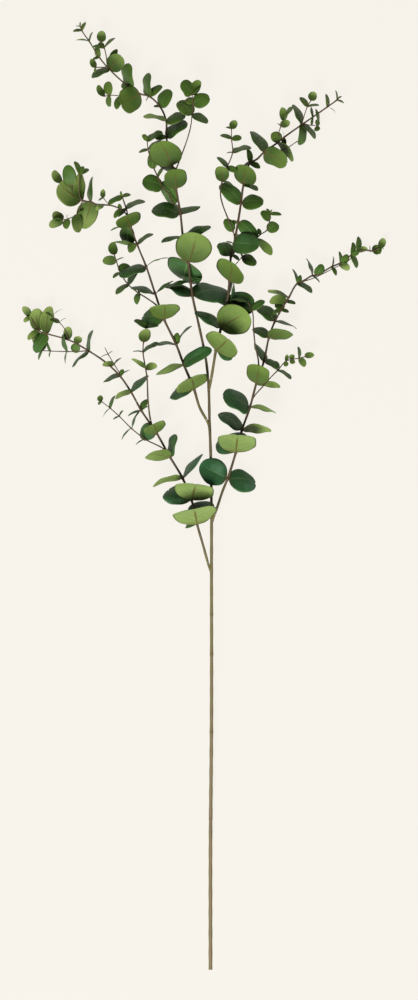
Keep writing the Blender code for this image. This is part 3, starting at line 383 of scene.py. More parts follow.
        (33, 268.5, 45.5, (124, 15, -5, 17, 0.73)),
        (28, 281, 47),
        (22, 297, 48),
        (20.5, 305, 48),
        (22, 318, 48, (95, 16.3, 18, 156, 0.95), (340, 12.7, -12, 71, 0.77)),
        (27, 332, 47, (133, 15, -9, 63, 0.86), (339, 11.4, 7, 23, 0.65295)),
        (32.5, 347, 46, (186, 6.3, -7, 68, 0.7), (17, 20.3, -11, 68, 0.92)),
        (31.5, 361, 45, (164, 12, -1, 58, 0.79), (358, 10.9, 18, 40, 0.81)),
        (31.5, 371, 44, (61, 9.5, 3, 151, 0.94), (167, 5.9, 1, 55, 0.69)),
    ]),
    "right_mid_twig_side": ("shoot_right_mid", 0.7, 0.4, [
        (37, 265, 44),
        (50, 258, 42),
        (56, 260.8, 41, (314, 23.2, -9, 124, 0.66)),
        (60, 265, 40, (107, 6.9, -3, 35, 0.75)),
        (67, 270, 39, (22, 13.2, -8, 19, 0.95)),
        (69.5, 279, 39, (130, 13.1, 1, 35, 0.85)),
        (70, 286, 38, (125, 6.6, -2, 48, 0.69), (63, 5.1, 0, 58, 0.61), (356, 11.9, 5, 45, 0.51)),
    ]),
    "right_mid_twig_low": ("shoot_right_mid", 0.5, 0.4, [
        (31, 230, 46),
        (37, 237, 44),
        (42, 243, 42, (333, 16.7, -4, 41, 0.84), (110, 6, -18, 55, 0.59)),
    ]),
    "right_mid_twig_crown": ("shoot_right_mid", 0.5, 0.4, [
        (78, 360, 30),
        (79, 368, 31),
        (81, 374, 32, (29, 10.3, 12, 151, 0.86), (140, 4.6, -5, 59, 0.57)),
        (84, 380, 32, (99, 13.5, -5, 147, 0.73), (57, 16.6, 6, 71, 0.85)),
    ]),
    "right_mid_twig_top": ("shoot_right_mid", 0.5, 0.4, [
        (102, 378, 25),
        (105, 387, 27),
        (107.5, 394, 28, (130, 12.2, 0, 53, 0.85), (5, 12.3, 9, 69, 0.8)),
        (111, 400, 29, (68, 9.6, 7, 177, 0.92)),
    ]),
    "right_mid_twig_tip": ("shoot_right_mid", 0.5, 0.35, [
        (103, 376, 25),
        (112, 375.5, 23, (93, 18.9, 5, 79, 0.83)),
        (118, 375, 22, (98, 17.7, 4, 73, 0.72), (252, 6.4, 21, 149, 1.03), (98, 6.6, 5, 148, 0.83)),
    ]),
    "right_mid_twig_down": ("shoot_right_mid", 0.5, 0.4, [
        (70, 349.5, 32),
        (84, 351, 29),
        (97, 359, 26, (283, 5.8, 1, 89, 0.268)),
    ]),
}

GREEN_TIP_FROM = {
    "main_stem": 348,
    "shoot_left_low": 99,
    "shoot_left_mid": 288,
    "shoot_right_low": 185,
    "shoot_right_mid": 307,
}
TIP_NAMES = {
    "main_stem": "leader_tip",
    "shoot_left_low": "left_low_tip",
    "shoot_left_mid": "left_mid_tip",
    "shoot_right_low": "right_low_tip",
    "shoot_right_mid": "right_mid_tip",
}
GROWN_INTO = {
    "leader_twig_top": "leader_tip",
    "leader_twig_side": "leader_tip",
    "leader_twig_low": "leader_tip",
    "left_low_twig_tip": "left_low_tip",
    "left_low_twig_over": "left_low_tip",
    "left_low_twig_mid": "left_low_tip",
    "left_mid_twig_fork": "left_mid_twig_tip",
    "left_mid_twig_crown": "left_mid_twig_tip",
    "left_mid_twig_bud": "left_mid_twig_tip",
    "right_low_twig_tip": "right_low_tip",
    "right_mid_twig_crown": "right_mid_tip",
    "right_mid_twig_top": "right_mid_tip",
    "right_mid_twig_tip": "right_mid_tip",
    "right_mid_twig_down": "right_mid_tip",
}
print(len(STEMS), "stems", sum(len(p[3:]) for s in STEMS.values() for p in s[3]), "leaves")

# %% [markdown]
# ## Stems
#
# A stem's points become a smooth route. A side shoot starts in the middle of its parent,
# a little below where it shows, as a real one does. The sizes here are those of the solids.

# %% Routes
GAP = 0.35  # clear space around a stem inside a collar, and at a joint
CROWN_LIFT = 0.80  # relative heights in the table times this are mm
TAPER = 0.6  # below 1, a stem keeps its thickness and then thins out near its tip
START_INSIDE = 6.0  # how far before it shows a side shoot starts, along its parent
TIP_EXTRA = 1.5  # bare stem beyond the last leaves


def unit(v):
    return v / np.linalg.norm(v)


def smooth_route(points, step=15.0, most=4):
    """A smooth curve through the points, and the index on it of each point."""
    pts = np.asarray(points, float)
    pts = np.vstack([2 * pts[0] - pts[1], pts, 2 * pts[-1] - pts[-2]])
    curve, index = [], []
    for p0, p1, p2, p3 in zip(pts, pts[1:], pts[2:], pts[3:]):
        d0, d1, d2 = (np.linalg.norm(b - a) for a, b in ((p0, p1), (p1, p2), (p2, p3)))
        m1 = d1 * ((p1 - p0) / d0 + (p2 - p1) / d1) / 2
        m2 = d1 * ((p2 - p1) / d1 + (p3 - p2) / d2) / 2
        index.append(len(curve))
        parts = min(most, max(1, round(d1 / step)))
        for k in range(parts):
            t = k / parts
            curve.append(
                (2 * t**3 - 3 * t**2 + 1) * p1
                + (t**3 - 2 * t**2 + t) * m1
                + (3 * t**2 - 2 * t**3) * p2
                + (t**3 - t**2) * m2
            )
    index.append(len(curve))
    curve.append(pts[-2])
    return np.array(curve), index


def lengths_along(curve):
    return np.concatenate([[0], np.cumsum(np.linalg.norm(np.diff(curve, axis=0), axis=1))])


def point_at(curve, length):
    along = lengths_along(curve)
    return np.array([np.interp(length, along, curve[:, k]) for k in range(3)])


def part_of(curve, start, end):
    """The curve between two lengths along it, with new end points there."""
    along = lengths_along(curve)
    inside = curve[(along > start + 0.4) & (along < end - 0.4)]
    return np.vstack([point_at(curve, start), inside, point_at(curve, end)])


def distance_to(curve, p):
    """(distance, length along the curve) of its nearest point to p."""
    best = (1e9, 0.0)
    for a, b, s in zip(curve, curve[1:], lengths_along(curve)):
        ab = b - a
        t = float(np.clip((p - a) @ ab / (ab @ ab), 0, 1))
        gap = float(np.linalg.norm(p - a - t * ab))
        if gap < best[0]:
            best = (gap, s + t * float(np.linalg.norm(ab)))
    return best


class Stem:
    def __init__(self, name, parent, start_radius, tip_radius, points):
        self.name, self.parent = name, parent
        self.r0, self.r1 = start_radius, tip_radius
        places = [np.array([p[0], p[1], p[2] * CROWN_LIFT]) for p in points]
        if parent:
            along = distance_to(parent.curve, places[0])[1]
            places.insert(0, point_at(parent.curve, max(0.0, along - START_INSIDE)))
        places.append(places[-1] + TIP_EXTRA * unit(places[-1] - places[-2]))
        self.places = places
        self.curve, index = smooth_route(places)
        self.along = lengths_along(self.curve)
        self.length = self.along[-1]
        index = index[1:] if parent else index
        self.stations = [
            (self.along[i], p[3:]) for i, p in zip(index, points) if len(p) > 3
        ]
        self.clear_from = self.length_clear_of_parent() if parent else 0.0

    def radius(self, length):
        left = max(0.0, 1 - length / self.length)
        return self.r1 + (self.r0 - self.r1) * left**TAPER

    def direction(self, length):
        a = point_at(self.curve, max(0.0, length - 1.5))
        b = point_at(self.curve, min(self.length, length + 1.5))
        return unit(b - a)

    def length_clear_of_parent(self):
        for length in np.arange(0.5, self.length, 0.5):
            gap, s = distance_to(self.parent.curve, point_at(self.curve, length))
            if gap > self.parent.radius(s) + self.radius(length) + GAP + 0.15:
                return length

    def tip_from(self):
        """The length at which the green tip starts, where the stem has one."""
        y = GREEN_TIP_FROM.get(self.name)
        if y is None:
            return None
        k = int(np.argmax(self.curve[:, 1] > y))
        a, b = self.curve[k - 1], self.curve[k]
        share = (y - a[1]) / (b[1] - a[1])
        return self.along[k - 1] + share * (self.along[k] - self.along[k - 1])


stems = {}
for name, (parent, r0, r1, points) in STEMS.items():
    stems[name] = Stem(name, stems.get(parent), r0, r1, points)
print("leader", round(stems["main_stem"].length), "mm long")

# %% [markdown]
# ## Leaves
#
# A leaf starts on its stem. A grown one starts at the collar that it shares with its pair, a
# young one in the middle of its twig. `blade` is the plain bowed lens of a leaf's solid.

# %% Plain blades
LEAF_HALF_THICKNESS = 0.40
BLADE_BOW = 0.85  # radians that a midrib turns through from base to tip
BLADE_CUP = 0.05  # how far the sides of a blade drop, as a share of its width
BIG_LEAF = 19.0
BIG_ROWS, SMALL_ROWS = (0.11, 0.48, 0.86), (0.24, 0.76)
IN_COLLAR = 0.45  # how deep in its collar's wall a grown leaf starts
USUAL_RATIO = ([6, 12, 22, 32], [0.66, 0.76, 0.90, 1.0])  # of width to length, by length


def outline(u, full, blunt):
    """Half the width of a blade of width 2: 0 at its base and tip, 1 near the middle."""
    return math.sqrt(max(0.0, 1 - abs(2 * u**full - 1) ** blunt)) if 0 < u < 1 else 0.0


def arc(u):
    """How far along and how high a bowed midrib of length 1 has got at u."""
    angle, half = BLADE_BOW * (u - 0.5), BLADE_BOW / 2
    return (
        (math.sin(angle) + math.sin(half)) / BLADE_BOW,
        (math.cos(angle) - math.cos(half)) / BLADE_BOW,
    )


def blade_axes(heading, rise, turn, direction):
    """The unit vectors of a blade: along its midrib, and out of its upper face."""
    h, r, t = (math.radians(v) for v in (heading, rise, turn))
    along = np.array([math.cos(h) * math.cos(r), math.sin(h) * math.cos(r), math.sin(r)])
    flat = np.array([-math.cos(h) * math.sin(r), -math.sin(h) * math.sin(r), math.cos(r)])
    side = np.cross(along, flat)
    ups = [math.cos(t) * flat + s * math.sin(t) * side for s in (1, -1)]
    return along, max(ups, key=lambda n: n @ direction)


class Leaf:
    def __init__(self, owner, place, direction, stem_radius, free, numbers):
        heading, self.length, rise, turn = numbers[:4]
        usual = float(np.interp(self.length, *USUAL_RATIO))
        self.ratio = numbers[4] if len(numbers) > 4 else usual
        seat = numbers[5] if len(numbers) > 5 else 0
        self.owner, self.place, self.free = owner, place, free
        self.along, self.up = blade_axes(heading, rise, turn, direction)
        self.base = place
        if free:
            towards = (self.along, self.up, -self.up)[seat]
            beside = towards - direction * (towards @ direction)
            self.base = place + (stem_radius + GAP + IN_COLLAR) * unit(beside)

    def blade(self):
        """The points and the faces of the leaf's solid."""
        width = self.ratio * self.length
        across = np.cross(self.along, self.up)
        rows = BIG_ROWS if self.length > BIG_LEAF else SMALL_ROWS

        def place(u, v, lift):
            reach, height = (self.length * d for d in arc(u))
            w = outline(u, 0.92, 2.15)
            height += lift - BLADE_CUP * width * v * v * w * w
            return self.base + reach * self.along + 0.5 * v * width * w * across + height * self.up

        verts, faces = [place(0, 0, 0), place(1, 0, 0)], []
        for u in rows:
            sides = ((-1, 0), (0, LEAF_HALF_THICKNESS), (1, 0), (0, -LEAF_HALF_THICKNESS))
            verts += [place(u, v, lift) for v, lift in sides]
        last = len(verts) - 4
        for k in range(4):
            j = (k + 1) % 4
            faces += [(a + k, a + j, a + 4 + j, a + 4 + k) for a in range(2, last, 4)]
            faces += [(0, 2 + j, 2 + k), (1, last + k, last + j)]
        return verts, faces


# %% Which node each stem and leaf belongs to
bars = []  # (node, stem, start, end) in lengths along the stem
leaves = []
for name, stem in stems.items():
    split = stem.tip_from()
    home = GROWN_INTO.get(name, name)
    start = stem.clear_from + GAP if stem.parent else 0.0
    if split:
        bars.append((name, stem, start, split - GAP / 2))
        bars.append((TIP_NAMES[name], stem, split + GAP / 2, stem.length))
    else:
        bars.append((home, stem, start if home == name else 0.0, stem.length))
    if stem.parent and home == name:
        # Inside the joint the shoot is one with the stem that bears it.
        bearer = GROWN_INTO.get(stem.parent.name, stem.parent.name)
        bars.append((bearer, stem, 0.0, stem.clear_from))
    whorl = 0
    for length, group in stem.stations:
        free = bool(split) and length < split
        whorl += free
        owner = f"{name}_leaves_{whorl}" if free else TIP_NAMES[name] if split else home
        joint = point_at(stem.curve, length), stem.direction(length), stem.radius(length)
        leaves += [Leaf(owner, *joint, free, numbers) for numbers in group]
print(len(bars), "bars", len({leaf.owner for leaf in leaves}), "nodes with leaves")

# %% [markdown]
# ## A small kit for node trees
#
# Shader and geometry trees are easier to read as sums. `Value` wraps a socket, so that
# `1 - rim * 0.5` makes the Math nodes it stands for. `Tree.node` makes any other node from
# its type, its settings and what goes into it.

# %% Node kit
class Value:
    def __init__(self, tree, socket):
        self.tree, self.socket = tree, socket

    def math(self, operation, *others):
        node = self.tree.node("ShaderNodeMath", {"operation": operation}, [self, *others])
        return node[0]

    def __add__(self, other):
        return self.math("ADD", other)

    def __mul__(self, other):
        return self.math("MULTIPLY", other)

    def __sub__(self, other):
        return self.math("SUBTRACT", other)

    def __rsub__(self, other):
        return self.tree.node("ShaderNodeMath", {"operation": "SUBTRACT"}, [other, self])[0]

    __radd__ = __add__

    def __gt__(self, other):
        return self.math("GREATER_THAN", other)

    def abs(self):
        return self.math("ABSOLUTE")

    def fract(self):
        return self.math("FRACT")

    def step(self, low, high):
        """0 below low and 1 above high, smooth between; low may be the greater."""
        node = self.tree.node(
            "ShaderNodeMapRange",
            {"interpolation_type": "SMOOTHSTEP", "clamp": True},
            {"Value": self, "From Min": low, "From Max": high, "To Min": 0, "To Max": 1},
        )
        return node["Result"]


class Node:
    def __init__(self, tree, node):
        self.tree, self.node = tree, node

    def __getitem__(self, key):
        return Value(self.tree, self.node.outputs[key])


class Tree:
    def __init__(self, tree):
        self.tree = tree

    def node(self, kind, settings=None, inputs=None):
        made = self.tree.nodes.new(kind)
        for key, value in (settings or {}).items():
            setattr(made, key, value)
        pairs = inputs.items() if isinstance(inputs, dict) else enumerate(inputs or [])
        for key, value in pairs:
            self.feed(made.inputs[key], value)
        return Node(self, made)

    def feed(self, socket, value):
        if isinstance(value, Value):
            self.tree.links.new(value.socket, socket)
        else:
            socket.default_value = value

    def attribute(self, name):
        return self.node("ShaderNodeAttribute", {"attribute_name": name})["Fac"]

    def noise(self, where, scale, detail, rough=0.55):
        inputs = {"Vector": where, "Scale": scale, "Detail": detail, "Roughness": rough}
        return self.node("ShaderNodeTexNoise", None, inputs)["Fac"]

    def bump(self, strength, distance, height):
        inputs = {"Strength": strength, "Distance": distance, "Height": height}
        return self.node("ShaderNodeBump", None, inputs)["Normal"]

    def ramp(self, factor, stops):
        made = self.node("ShaderNodeValToRGB", None, {"Fac": factor})
        band = made.node.color_ramp
        while len(band.elements) < len(stops):
            band.elements.new(0.5)
        for element, (place, colour) in zip(band.elements, stops):
            element.position = place
            element.color = rgba(colour)
        return made["Color"]

    def mix(self, factor, a, b):
        """Colour a where factor is 0, b where it is 1."""
        made = self.node("ShaderNodeMix", {"data_type": "RGBA"})
        self.feed(made.node.inputs[0], factor)
        self.feed(made.node.inputs[6], rgba(a))
        self.feed(made.node.inputs[7], rgba(b))
        return Value(self, made.node.outputs[2])


def rgba(colour):
    """A colour given as 0 to 255 sRGB numbers, as Blender's linear colour."""
    if isinstance(colour, Value):
        return colour
    parts = [c / 255 for c in colour]
    return (*(c / 12.92 if c < 0.04045 else ((c + 0.055) / 1.055) ** 2.4 for c in parts), 1)


def new_material(name):
    made = bpy.data.materials.new(name)
    made.use_nodes = True
    tree = Tree(made.node_tree)
    return made, tree, made.node_tree.nodes["Principled BSDF"]


# %% [markdown]
# ## Leaf material
#
# A blade's own map runs from its base to its tip along X, 0 to 1 on the upper face and 1
# to 2 on the lower face, and from rim to rim along Y. Old leaves low on the branch are
# blue green with a waxy bloom, grown ones higher up are a clear green, and young ones are
# olive. The lower face is paler and yellower. A pale midrib, side veins that curve towards
# the tip, a thin pale rim and a few brown flecks are drawn from the same map.

# %% Leaf material
UPPER = [(0.0, (46, 98, 64)), (0.4, (66, 104, 42)), (0.75, (84, 116, 40)), (1.0, (106, 128, 54))]
LOWER = [
    (0.0, (144, 168, 94)),
    (0.24, (134, 159, 78)),
    (0.38, (108, 134, 56)),
    (0.6, (96, 122, 50)),
    (1.0, (120, 144, 68)),
]


def leaf_material():
    made, tree, shader = new_material("eucalyptus_leaf")
    where = tree.node("ShaderNodeTexCoord")["Object"]
    uv = tree.node("ShaderNodeUVMap", {"uv_map": "blade"})["UV"]
    parts = tree.node("ShaderNodeSeparateXYZ", None, [uv])
    age, tone, pale, shade = (tree.attribute(n) for n in ("age", "tone", "pale", "shade"))

    under = parts["X"] > 1.0
    u = parts["X"] - under
    across = parts["Y"] - 0.5
    v = across.abs() * 2

    blotch = tree.noise(where, 75, 4)
    fine = tree.noise(where, 420, 3, 0.6)
    shift = (blotch - 0.5) * 0.6 + tone * 0.16
    upper = tree.ramp(age + shift * 0.55, UPPER)
    lower = tree.ramp(age + shift * 0.3, LOWER)
    lower = tree.mix(pale, lower, (150, 170, 92))
    # Painted shade: the lower face is darker towards its base, most on young leaves.
    lower = tree.mix(u.step(0.95, 0.08) * (0.25 + age * 1.5), lower, (62, 88, 30))
    colour = tree.mix(under, upper, lower)

    # A waxy bloom lies on old blades in soft patches, and darker green shows between them.
    bloom = tree.noise(where, 42, 3).step(0.44, 0.7) * (1 - age).step(0.4, 0.95)
    colour = tree.mix(bloom * 0.5 * (1 - under * 0.8), colour, (110, 156, 124))
    dark = tree.noise(where, 30, 3).step(0.42, 0.7)
    colour = tree.mix(dark * 0.42 * (1 - under * 0.5), colour, (46, 72, 26))

    # Veins: a midrib that fades before the tip, a few side veins that lean towards the tip,
    # and a faint net between them. They are brown on the lower face.
    midrib = v.step(0.075, 0.015) * u.step(0.92, 0.4)
    side = (u * 4.6 - v * 1.5 + (across > 0) * 0.4 + (blotch - 0.5) * 0.5).fract() - 0.5
    side_vein = side.abs().step(0.07, 0.01) * v.step(0.95, 0.25) * u.step(0.85, 0.25)
    net = tree.node(
        "ShaderNodeTexVoronoi", {"feature": "DISTANCE_TO_EDGE"}, {"Vector": where, "Scale": 460}
    )["Distance"].step(0.1, 0.01)
    vein_colour = tree.mix(under, (118, 148, 88), (98, 84, 40))
    veins = midrib * (0.5 + under * 0.35) + side_vein * (0.2 + under * 0.2) + net * 0.07
    colour = tree.mix(veins, colour, vein_colour)

    rim = v.step(0.93, 1.0)
    colour = tree.mix(rim * 0.35, colour, (150, 152, 90))
    base = u.step(0.16, 0.0)
    colour = tree.mix(base * 0.6, colour, (92, 84, 42))
    flecks = tree.noise(where, 190, 2).step(0.72, 0.78)
    colour = tree.mix(flecks * 0.4, colour, (84, 72, 36))
    # Painted shade: the shade attribute darkens blades lying under other leaves towards near black
    # green.
    colour = tree.mix(shade.step(0.1, 0.66) * 0.95, colour, (14, 32, 12))

    roughness = 0.5 + under * 0.14 + bloom * 0.14 + (fine - 0.5) * 0.14
    raised = under * 2 - 1
    height = (midrib * 1.1 + side_vein * 0.45) * raised + net * 0.08 + fine * 0.22 + blotch * 0.4
    tree.feed(shader.inputs["Base Color"], colour)
    tree.feed(shader.inputs["Roughness"], roughness)
    tree.feed(shader.inputs["Normal"], tree.bump(0.42, 0.0006, height))
    shader.inputs["Specular IOR Level"].default_value = 0.2
    return made


# %% [markdown]
# ## Bark material
#
# The bare stem is olive brown with fine streaks along it and a darker ring at each old leaf
# scar. Higher stems are dark brown, and the twigs at the tips turn reddish and then green.

# %% Bark material
BARK = [
    (0.0, (122, 104, 74)),
    (0.3, (110, 102, 54)),
    (0.45, (72, 54, 34)),
    (0.8, (82, 62, 42)),
    (1.0, (104, 94, 54)),
]


def bark_material():
    made, tree, shader = new_material("eucalyptus_bark")
    where = tree.node("ShaderNodeTexCoord")["Object"]
    wood, ring = tree.attribute("wood"), tree.attribute("ring")
    stretched = tree.node("ShaderNodeMapping", None, {"Vector": where, "Scale": (1, 0.07, 1)})
    streak = tree.noise(stretched["Vector"], 900, 4, 0.6)
    patch = tree.noise(where, 45, 4)
    speck = tree.noise(where, 700, 2)
    colour = tree.ramp(wood + (patch - 0.5) * 0.28, BARK)
    pale = streak.step(0.38, 0.75) * (0.42 - wood * 0.3)
    colour = tree.mix(pale, colour, (150, 132, 88))
    green = patch.step(0.5, 0.8) * (0.35 - wood * 0.2)
    colour = tree.mix(green, colour, (96, 108, 58))
    colour = tree.mix(ring * 0.6, colour, (84, 50, 36))
    colour = tree.mix(speck.step(0.66, 0.74) * 0.5, colour, (58, 42, 28))
    height = streak * 0.6 + speck * 0.3 + ring * 0.8
    tree.feed(shader.inputs["Base Color"], colour)
    tree.feed(shader.inputs["Roughness"], 0.58 + (streak - 0.5) * 0.3)
    tree.feed(shader.inputs["Normal"], tree.bump(0.55, 0.0004, height))
    return made


def cut_material():
    """Fresh wood at the cut: pale, with a fine mottled grain and a few darker patches."""
    made, tree, shader = new_material("cut_wood")
    where = tree.node("ShaderNodeTexCoord")["Object"]
    grain = tree.noise(where, 1500, 3)
    patch = tree.noise(where, 380, 2)
    colour = tree.mix(grain.step(0.3, 0.8), (196, 176, 128), (158, 134, 88))
    colour = tree.mix(patch.step(0.55, 0.75) * 0.6, colour, (118, 96, 60))
    tree.feed(shader.inputs["Base Color"], colour)
    tree.feed(shader.inputs["Roughness"], 0.7 + grain * 0.2)
    tree.feed(shader.inputs["Normal"], tree.bump(0.4, 0.0003, grain))
    return made


LEAF_LOOK, BARK_LOOK, CUT_LOOK = leaf_material(), bark_material(), cut_material()

# %% [markdown]
# ## A few good leaves
#
# Each model leaf is one unit long and one unit wide, a closed bowed blade with its base at
# the origin, its midrib along X and its upper face up. No two leaves on a plant are the same,
# so there are several, with their own outline, folds and waves. Old ones are rounder, young
# ones are longer and plainer.

# %% Model leaves
def model_leaf(name, rows, columns, seed, full, blunt, wave, keel, notch):
    """A leaf with its own outline: full moves the widest place, blunt rounds both ends,
    wave ripples the rim, keel folds the blade at its midrib and notch dents its tip."""
    draw = np.random.RandomState(seed)
    phase = draw.uniform(0, 2 * math.pi, 6)
    lean = draw.uniform(-0.045, 0.045)
    steps = [0.5 - 0.5 * math.cos(math.pi * i / rows) for i in range(rows + 1)]

    def place(u, v, face):
        w = outline(u, full, blunt)
        side = 1 if v > 0 else -1
        w *= 1 + 0.03 * math.sin(5 * u + phase[0] * side) + 0.015 * math.sin(11 * u + phase[1])
        x, z = arc(u)
        x -= notch * u**8 * (1 - abs(v)) ** 2
        y = 0.5 * v * w + lean * math.sin(math.pi * u) * (1 - v * v)
        z += -BLADE_CUP * v * v * w * w + keel * abs(v) * w
        z += wave * w * abs(v) ** 1.6 * math.sin(8 * u * (1 + 0.2 * side) + phase[2 + (v > 0)])
        z += 0.006 * math.sin(7 * u + phase[4]) * math.sin(3 * v + phase[5])
        thick = 0.0085 * math.sqrt(max(0.0, 1 - abs(v) ** 5)) * (1 if w else 0)
        return (x, y, z + face * thick)

    verts, uvs, faces, known = [], [], [], {}

    def corner(i, j, face):
        """The index of a grid corner; both faces share the rim, the base and the tip."""
        v = 0.0 if i in (0, rows) else 2 * j / columns - 1
        key = (i, round(v, 4), 0 if abs(v) == 1 or i in (0, rows) else face)
        if key not in known:
            known[key] = len(verts)
            verts.append(place(steps[i], v, key[2]))
        return known[key], (steps[i] * 0.998 + 0.001 + (face < 0), j / columns)

    for face in (1, -1):
        for i in range(rows):
            for j in range(columns):
                spots = ((i, j), (i + 1, j), (i + 1, j + 1), (i, j + 1))
                ring = [corner(*spot, face) for spot in spots]
                loop = [c for c, before in zip(ring, ring[-1:] + ring) if c[0] != before[0]]
                loop = loop[::face]
                faces.append([c[0] for c in loop])
                uvs += [c[1] for c in loop]
    mesh = bpy.data.meshes.new(name)
    mesh.from_pydata(verts, [], faces)
    layer = mesh.uv_layers.new(name="blade")
    layer.data.foreach_set("uv", [c for uv in uvs for c in uv])
    mesh.shade_smooth()
    mesh.update()
    return bpy.data.objects.new(name, mesh)


KINDS = [
    ("leaf_0", 26, 14, 11, 0.92, 2.10, 0.020, 0.030, 0.03),
    ("leaf_1", 26, 14, 12, 0.86, 2.30, 0.030, 0.000, 0.05),
    ("leaf_2", 26, 14, 13, 0.98, 2.15, 0.024, 0.045, 0.00),
    ("leaf_3", 26, 14, 14, 0.90, 2.25, 0.034, 0.020, 0.04),
    ("leaf_4", 14, 8, 15, 0.94, 2.00, 0.012, 0.040, -0.03),
    ("leaf_5", 14, 8, 16, 0.90, 2.10, 0.014, 0.030, -0.02),
    ("leaf_6", 14, 8, 17, 1.00, 1.95, 0.010, 0.050, 0.00),
]
models = bpy.data.collections.new("model_leaves")
for kind in KINDS:
    models.objects.link(model_leaf(*kind))

# %% [markdown]
# ## Growing a piece with Geometry Nodes
#
# One group grows any piece of the branch. It sweeps a round bar along each stem line, with
# the radius stored at each point, and puts a model leaf on each leaf point, turned and scaled
# as the point says. What it makes is realised, so that each piece is a plain mesh.

# %% Growth group
def growth_group():
    group = bpy.data.node_groups.new("grow_branch", "GeometryNodeTree")
    for label, kind in (
        ("Leaf Points", "NodeSocketGeometry"),
        ("Stem Lines", "NodeSocketObject"),
        ("Model Leaves", "NodeSocketCollection"),
        ("Leaf Material", "NodeSocketMaterial"),
        ("Bark Material", "NodeSocketMaterial"),
        ("Stem Sides", "NodeSocketInt"),
    ):
        group.interface.new_socket(label, in_out="INPUT", socket_type=kind)
    group.interface.new_socket("Piece", in_out="OUTPUT", socket_type="NodeSocketGeometry")
    tree = Tree(group)
    given = tree.node("NodeGroupInput")

    def stored(name, kind):
        return tree.node(
            "GeometryNodeInputNamedAttribute", {"data_type": kind}, {"Name": name}
        )["Attribute"]

    def dressed(geometry, material):
        inputs = {"Geometry": geometry, "Material": material}
        return tree.node("GeometryNodeSetMaterial", None, inputs)["Geometry"]

    sources = tree.node(
        "GeometryNodeCollectionInfo",
        {"transform_space": "ORIGINAL"},
        {"Collection": given["Model Leaves"], "Separate Children": True, "Reset Children": True},
    )["Instances"]
    turned = tree.node("FunctionNodeEulerToRotation", None, [stored("facing", "FLOAT_VECTOR")])
    placed = tree.node(
        "GeometryNodeInstanceOnPoints",
        None,
        {
            "Points": given["Leaf Points"],
            "Instance": sources,
            "Pick Instance": True,
            "Instance Index": stored("kind", "INT"),
            "Rotation": turned["Rotation"],
            "Scale": stored("size", "FLOAT_VECTOR"),
        },
    )["Instances"]
    real = tree.node("GeometryNodeRealizeInstances", None, {"Geometry": placed})["Geometry"]
    blades = dressed(real, given["Leaf Material"])

    lines = tree.node("GeometryNodeObjectInfo", None, {"Object": given["Stem Lines"]})
    curves = tree.node("GeometryNodeMeshToCurve", None, {"Mesh": lines["Geometry"]})["Curve"]
    ring = tree.node(
        "GeometryNodeCurvePrimitiveCircle", None, {"Resolution": given["Stem Sides"], "Radius": 1.0}
    )["Curve"]
    swept = tree.node(
        "GeometryNodeCurveToMesh",
        None,
        {
            "Curve": curves,
            "Profile Curve": ring,
            "Scale": stored("thickness", "FLOAT"),
            "Fill Caps": True,
        },
    )["Mesh"]
    smooth = tree.node("GeometryNodeSetShadeSmooth", None, {"Geometry": swept})["Geometry"]
    stalks = dressed(smooth, given["Bark Material"])
    join = tree.node("GeometryNodeJoinGeometry")
    for part in (stalks, blades):
        group.links.new(part.socket, join.node.inputs[0])
    out = tree.node("NodeGroupOutput")
    group.links.new(join["Geometry"].socket, out.node.inputs["Piece"])
    return group


GROW = growth_group()
SOCKETS = {s.name: s.identifier for s in GROW.interface.items_tree if s.in_out == "INPUT"}

# %% [markdown]
# ## The lines and points that a piece grows from
#
# A stem line has a point every millimetre or two. The stem swells a little where leaves
# join it and where an old leaf scar rings the bare part, and ends in a small bud. A leaf
# point holds where a leaf starts, which way it faces, its size, its outline and its age.

# %% Stem lines
SCARS = (-115, -155, -233, -320)  # y of the old leaf scars on the bare stem, mm
SCAR_REACH, SCAR_SWELL, SCAR_MARK = 1.4, 0.16, 0.6
STAIN = (-326, 12, 0.3)  # y, reach and strength of a reddish patch on the bare stem
JOINT_REACH, JOINT_MARK_REACH, JOINT_MARK = 1.5, 1.2, 0.7
COLLAR_SWELL, TWIG_SWELL = 0.55, 0.22
BARE_TO = 20  # y where the bare stem ends, mm


def bump_at(distance, reach):
    return math.exp(-((distance / reach) ** 2))


def wood_at(stem, y, length):
    """0 on the bare stem to 1 at a young tip."""
    if stem.parent is None and y < BARE_TO:
        return 0.02 + 0.28 * min(1.0, max(0.0, (y + 330) / 260))
    height = (y + 470) / 950
    wood = 0.55 * height**1.4 + 0.5 * (1 - min(1.0, stem.radius(length) / 1.2))
    if stem.parent is None:
        return wood + 0.14
    return max(wood, 0.2 + 0.35 * min(1.0, length / 70))


def stem_line(stem, start, end, collared):
    """Points, radii, wood and marks of a stem between two lengths."""
    fine, _ = smooth_route(stem.places, step=1.6, most=400)
    piece = part_of(fine, start, end)
    rows = []
    for p, s in zip(piece, lengths_along(piece) + start):
        r = stem.radius(min(s, stem.length))
        near = min((abs(s - joint) for joint, _ in stem.stations), default=99)
        swell = bump_at(near, JOINT_REACH) * (COLLAR_SWELL if collared else TWIG_SWELL)
        mark = bump_at(near, JOINT_MARK_REACH) * JOINT_MARK
        if stem.parent is None:
            scar = max(bump_at(p[1] - y, SCAR_REACH) for y in SCARS)
            swell += SCAR_SWELL * scar
            y, reach, strength = STAIN
            mark = max(mark, SCAR_MARK * scar, strength * bump_at(p[1] - y, reach))
        # The wobble differs from stem to stem, and the last of a stem closes to a bud.
        r = r + swell + 0.05 * math.sin(s * 0.31 + len(stem.name)) * r
        if end > stem.length - 0.1:
            r *= min(1.0, 0.25 + (end - s) / 1.5)
        rows.append((p, r, wood_at(stem, p[1], s), mark))
    return rows


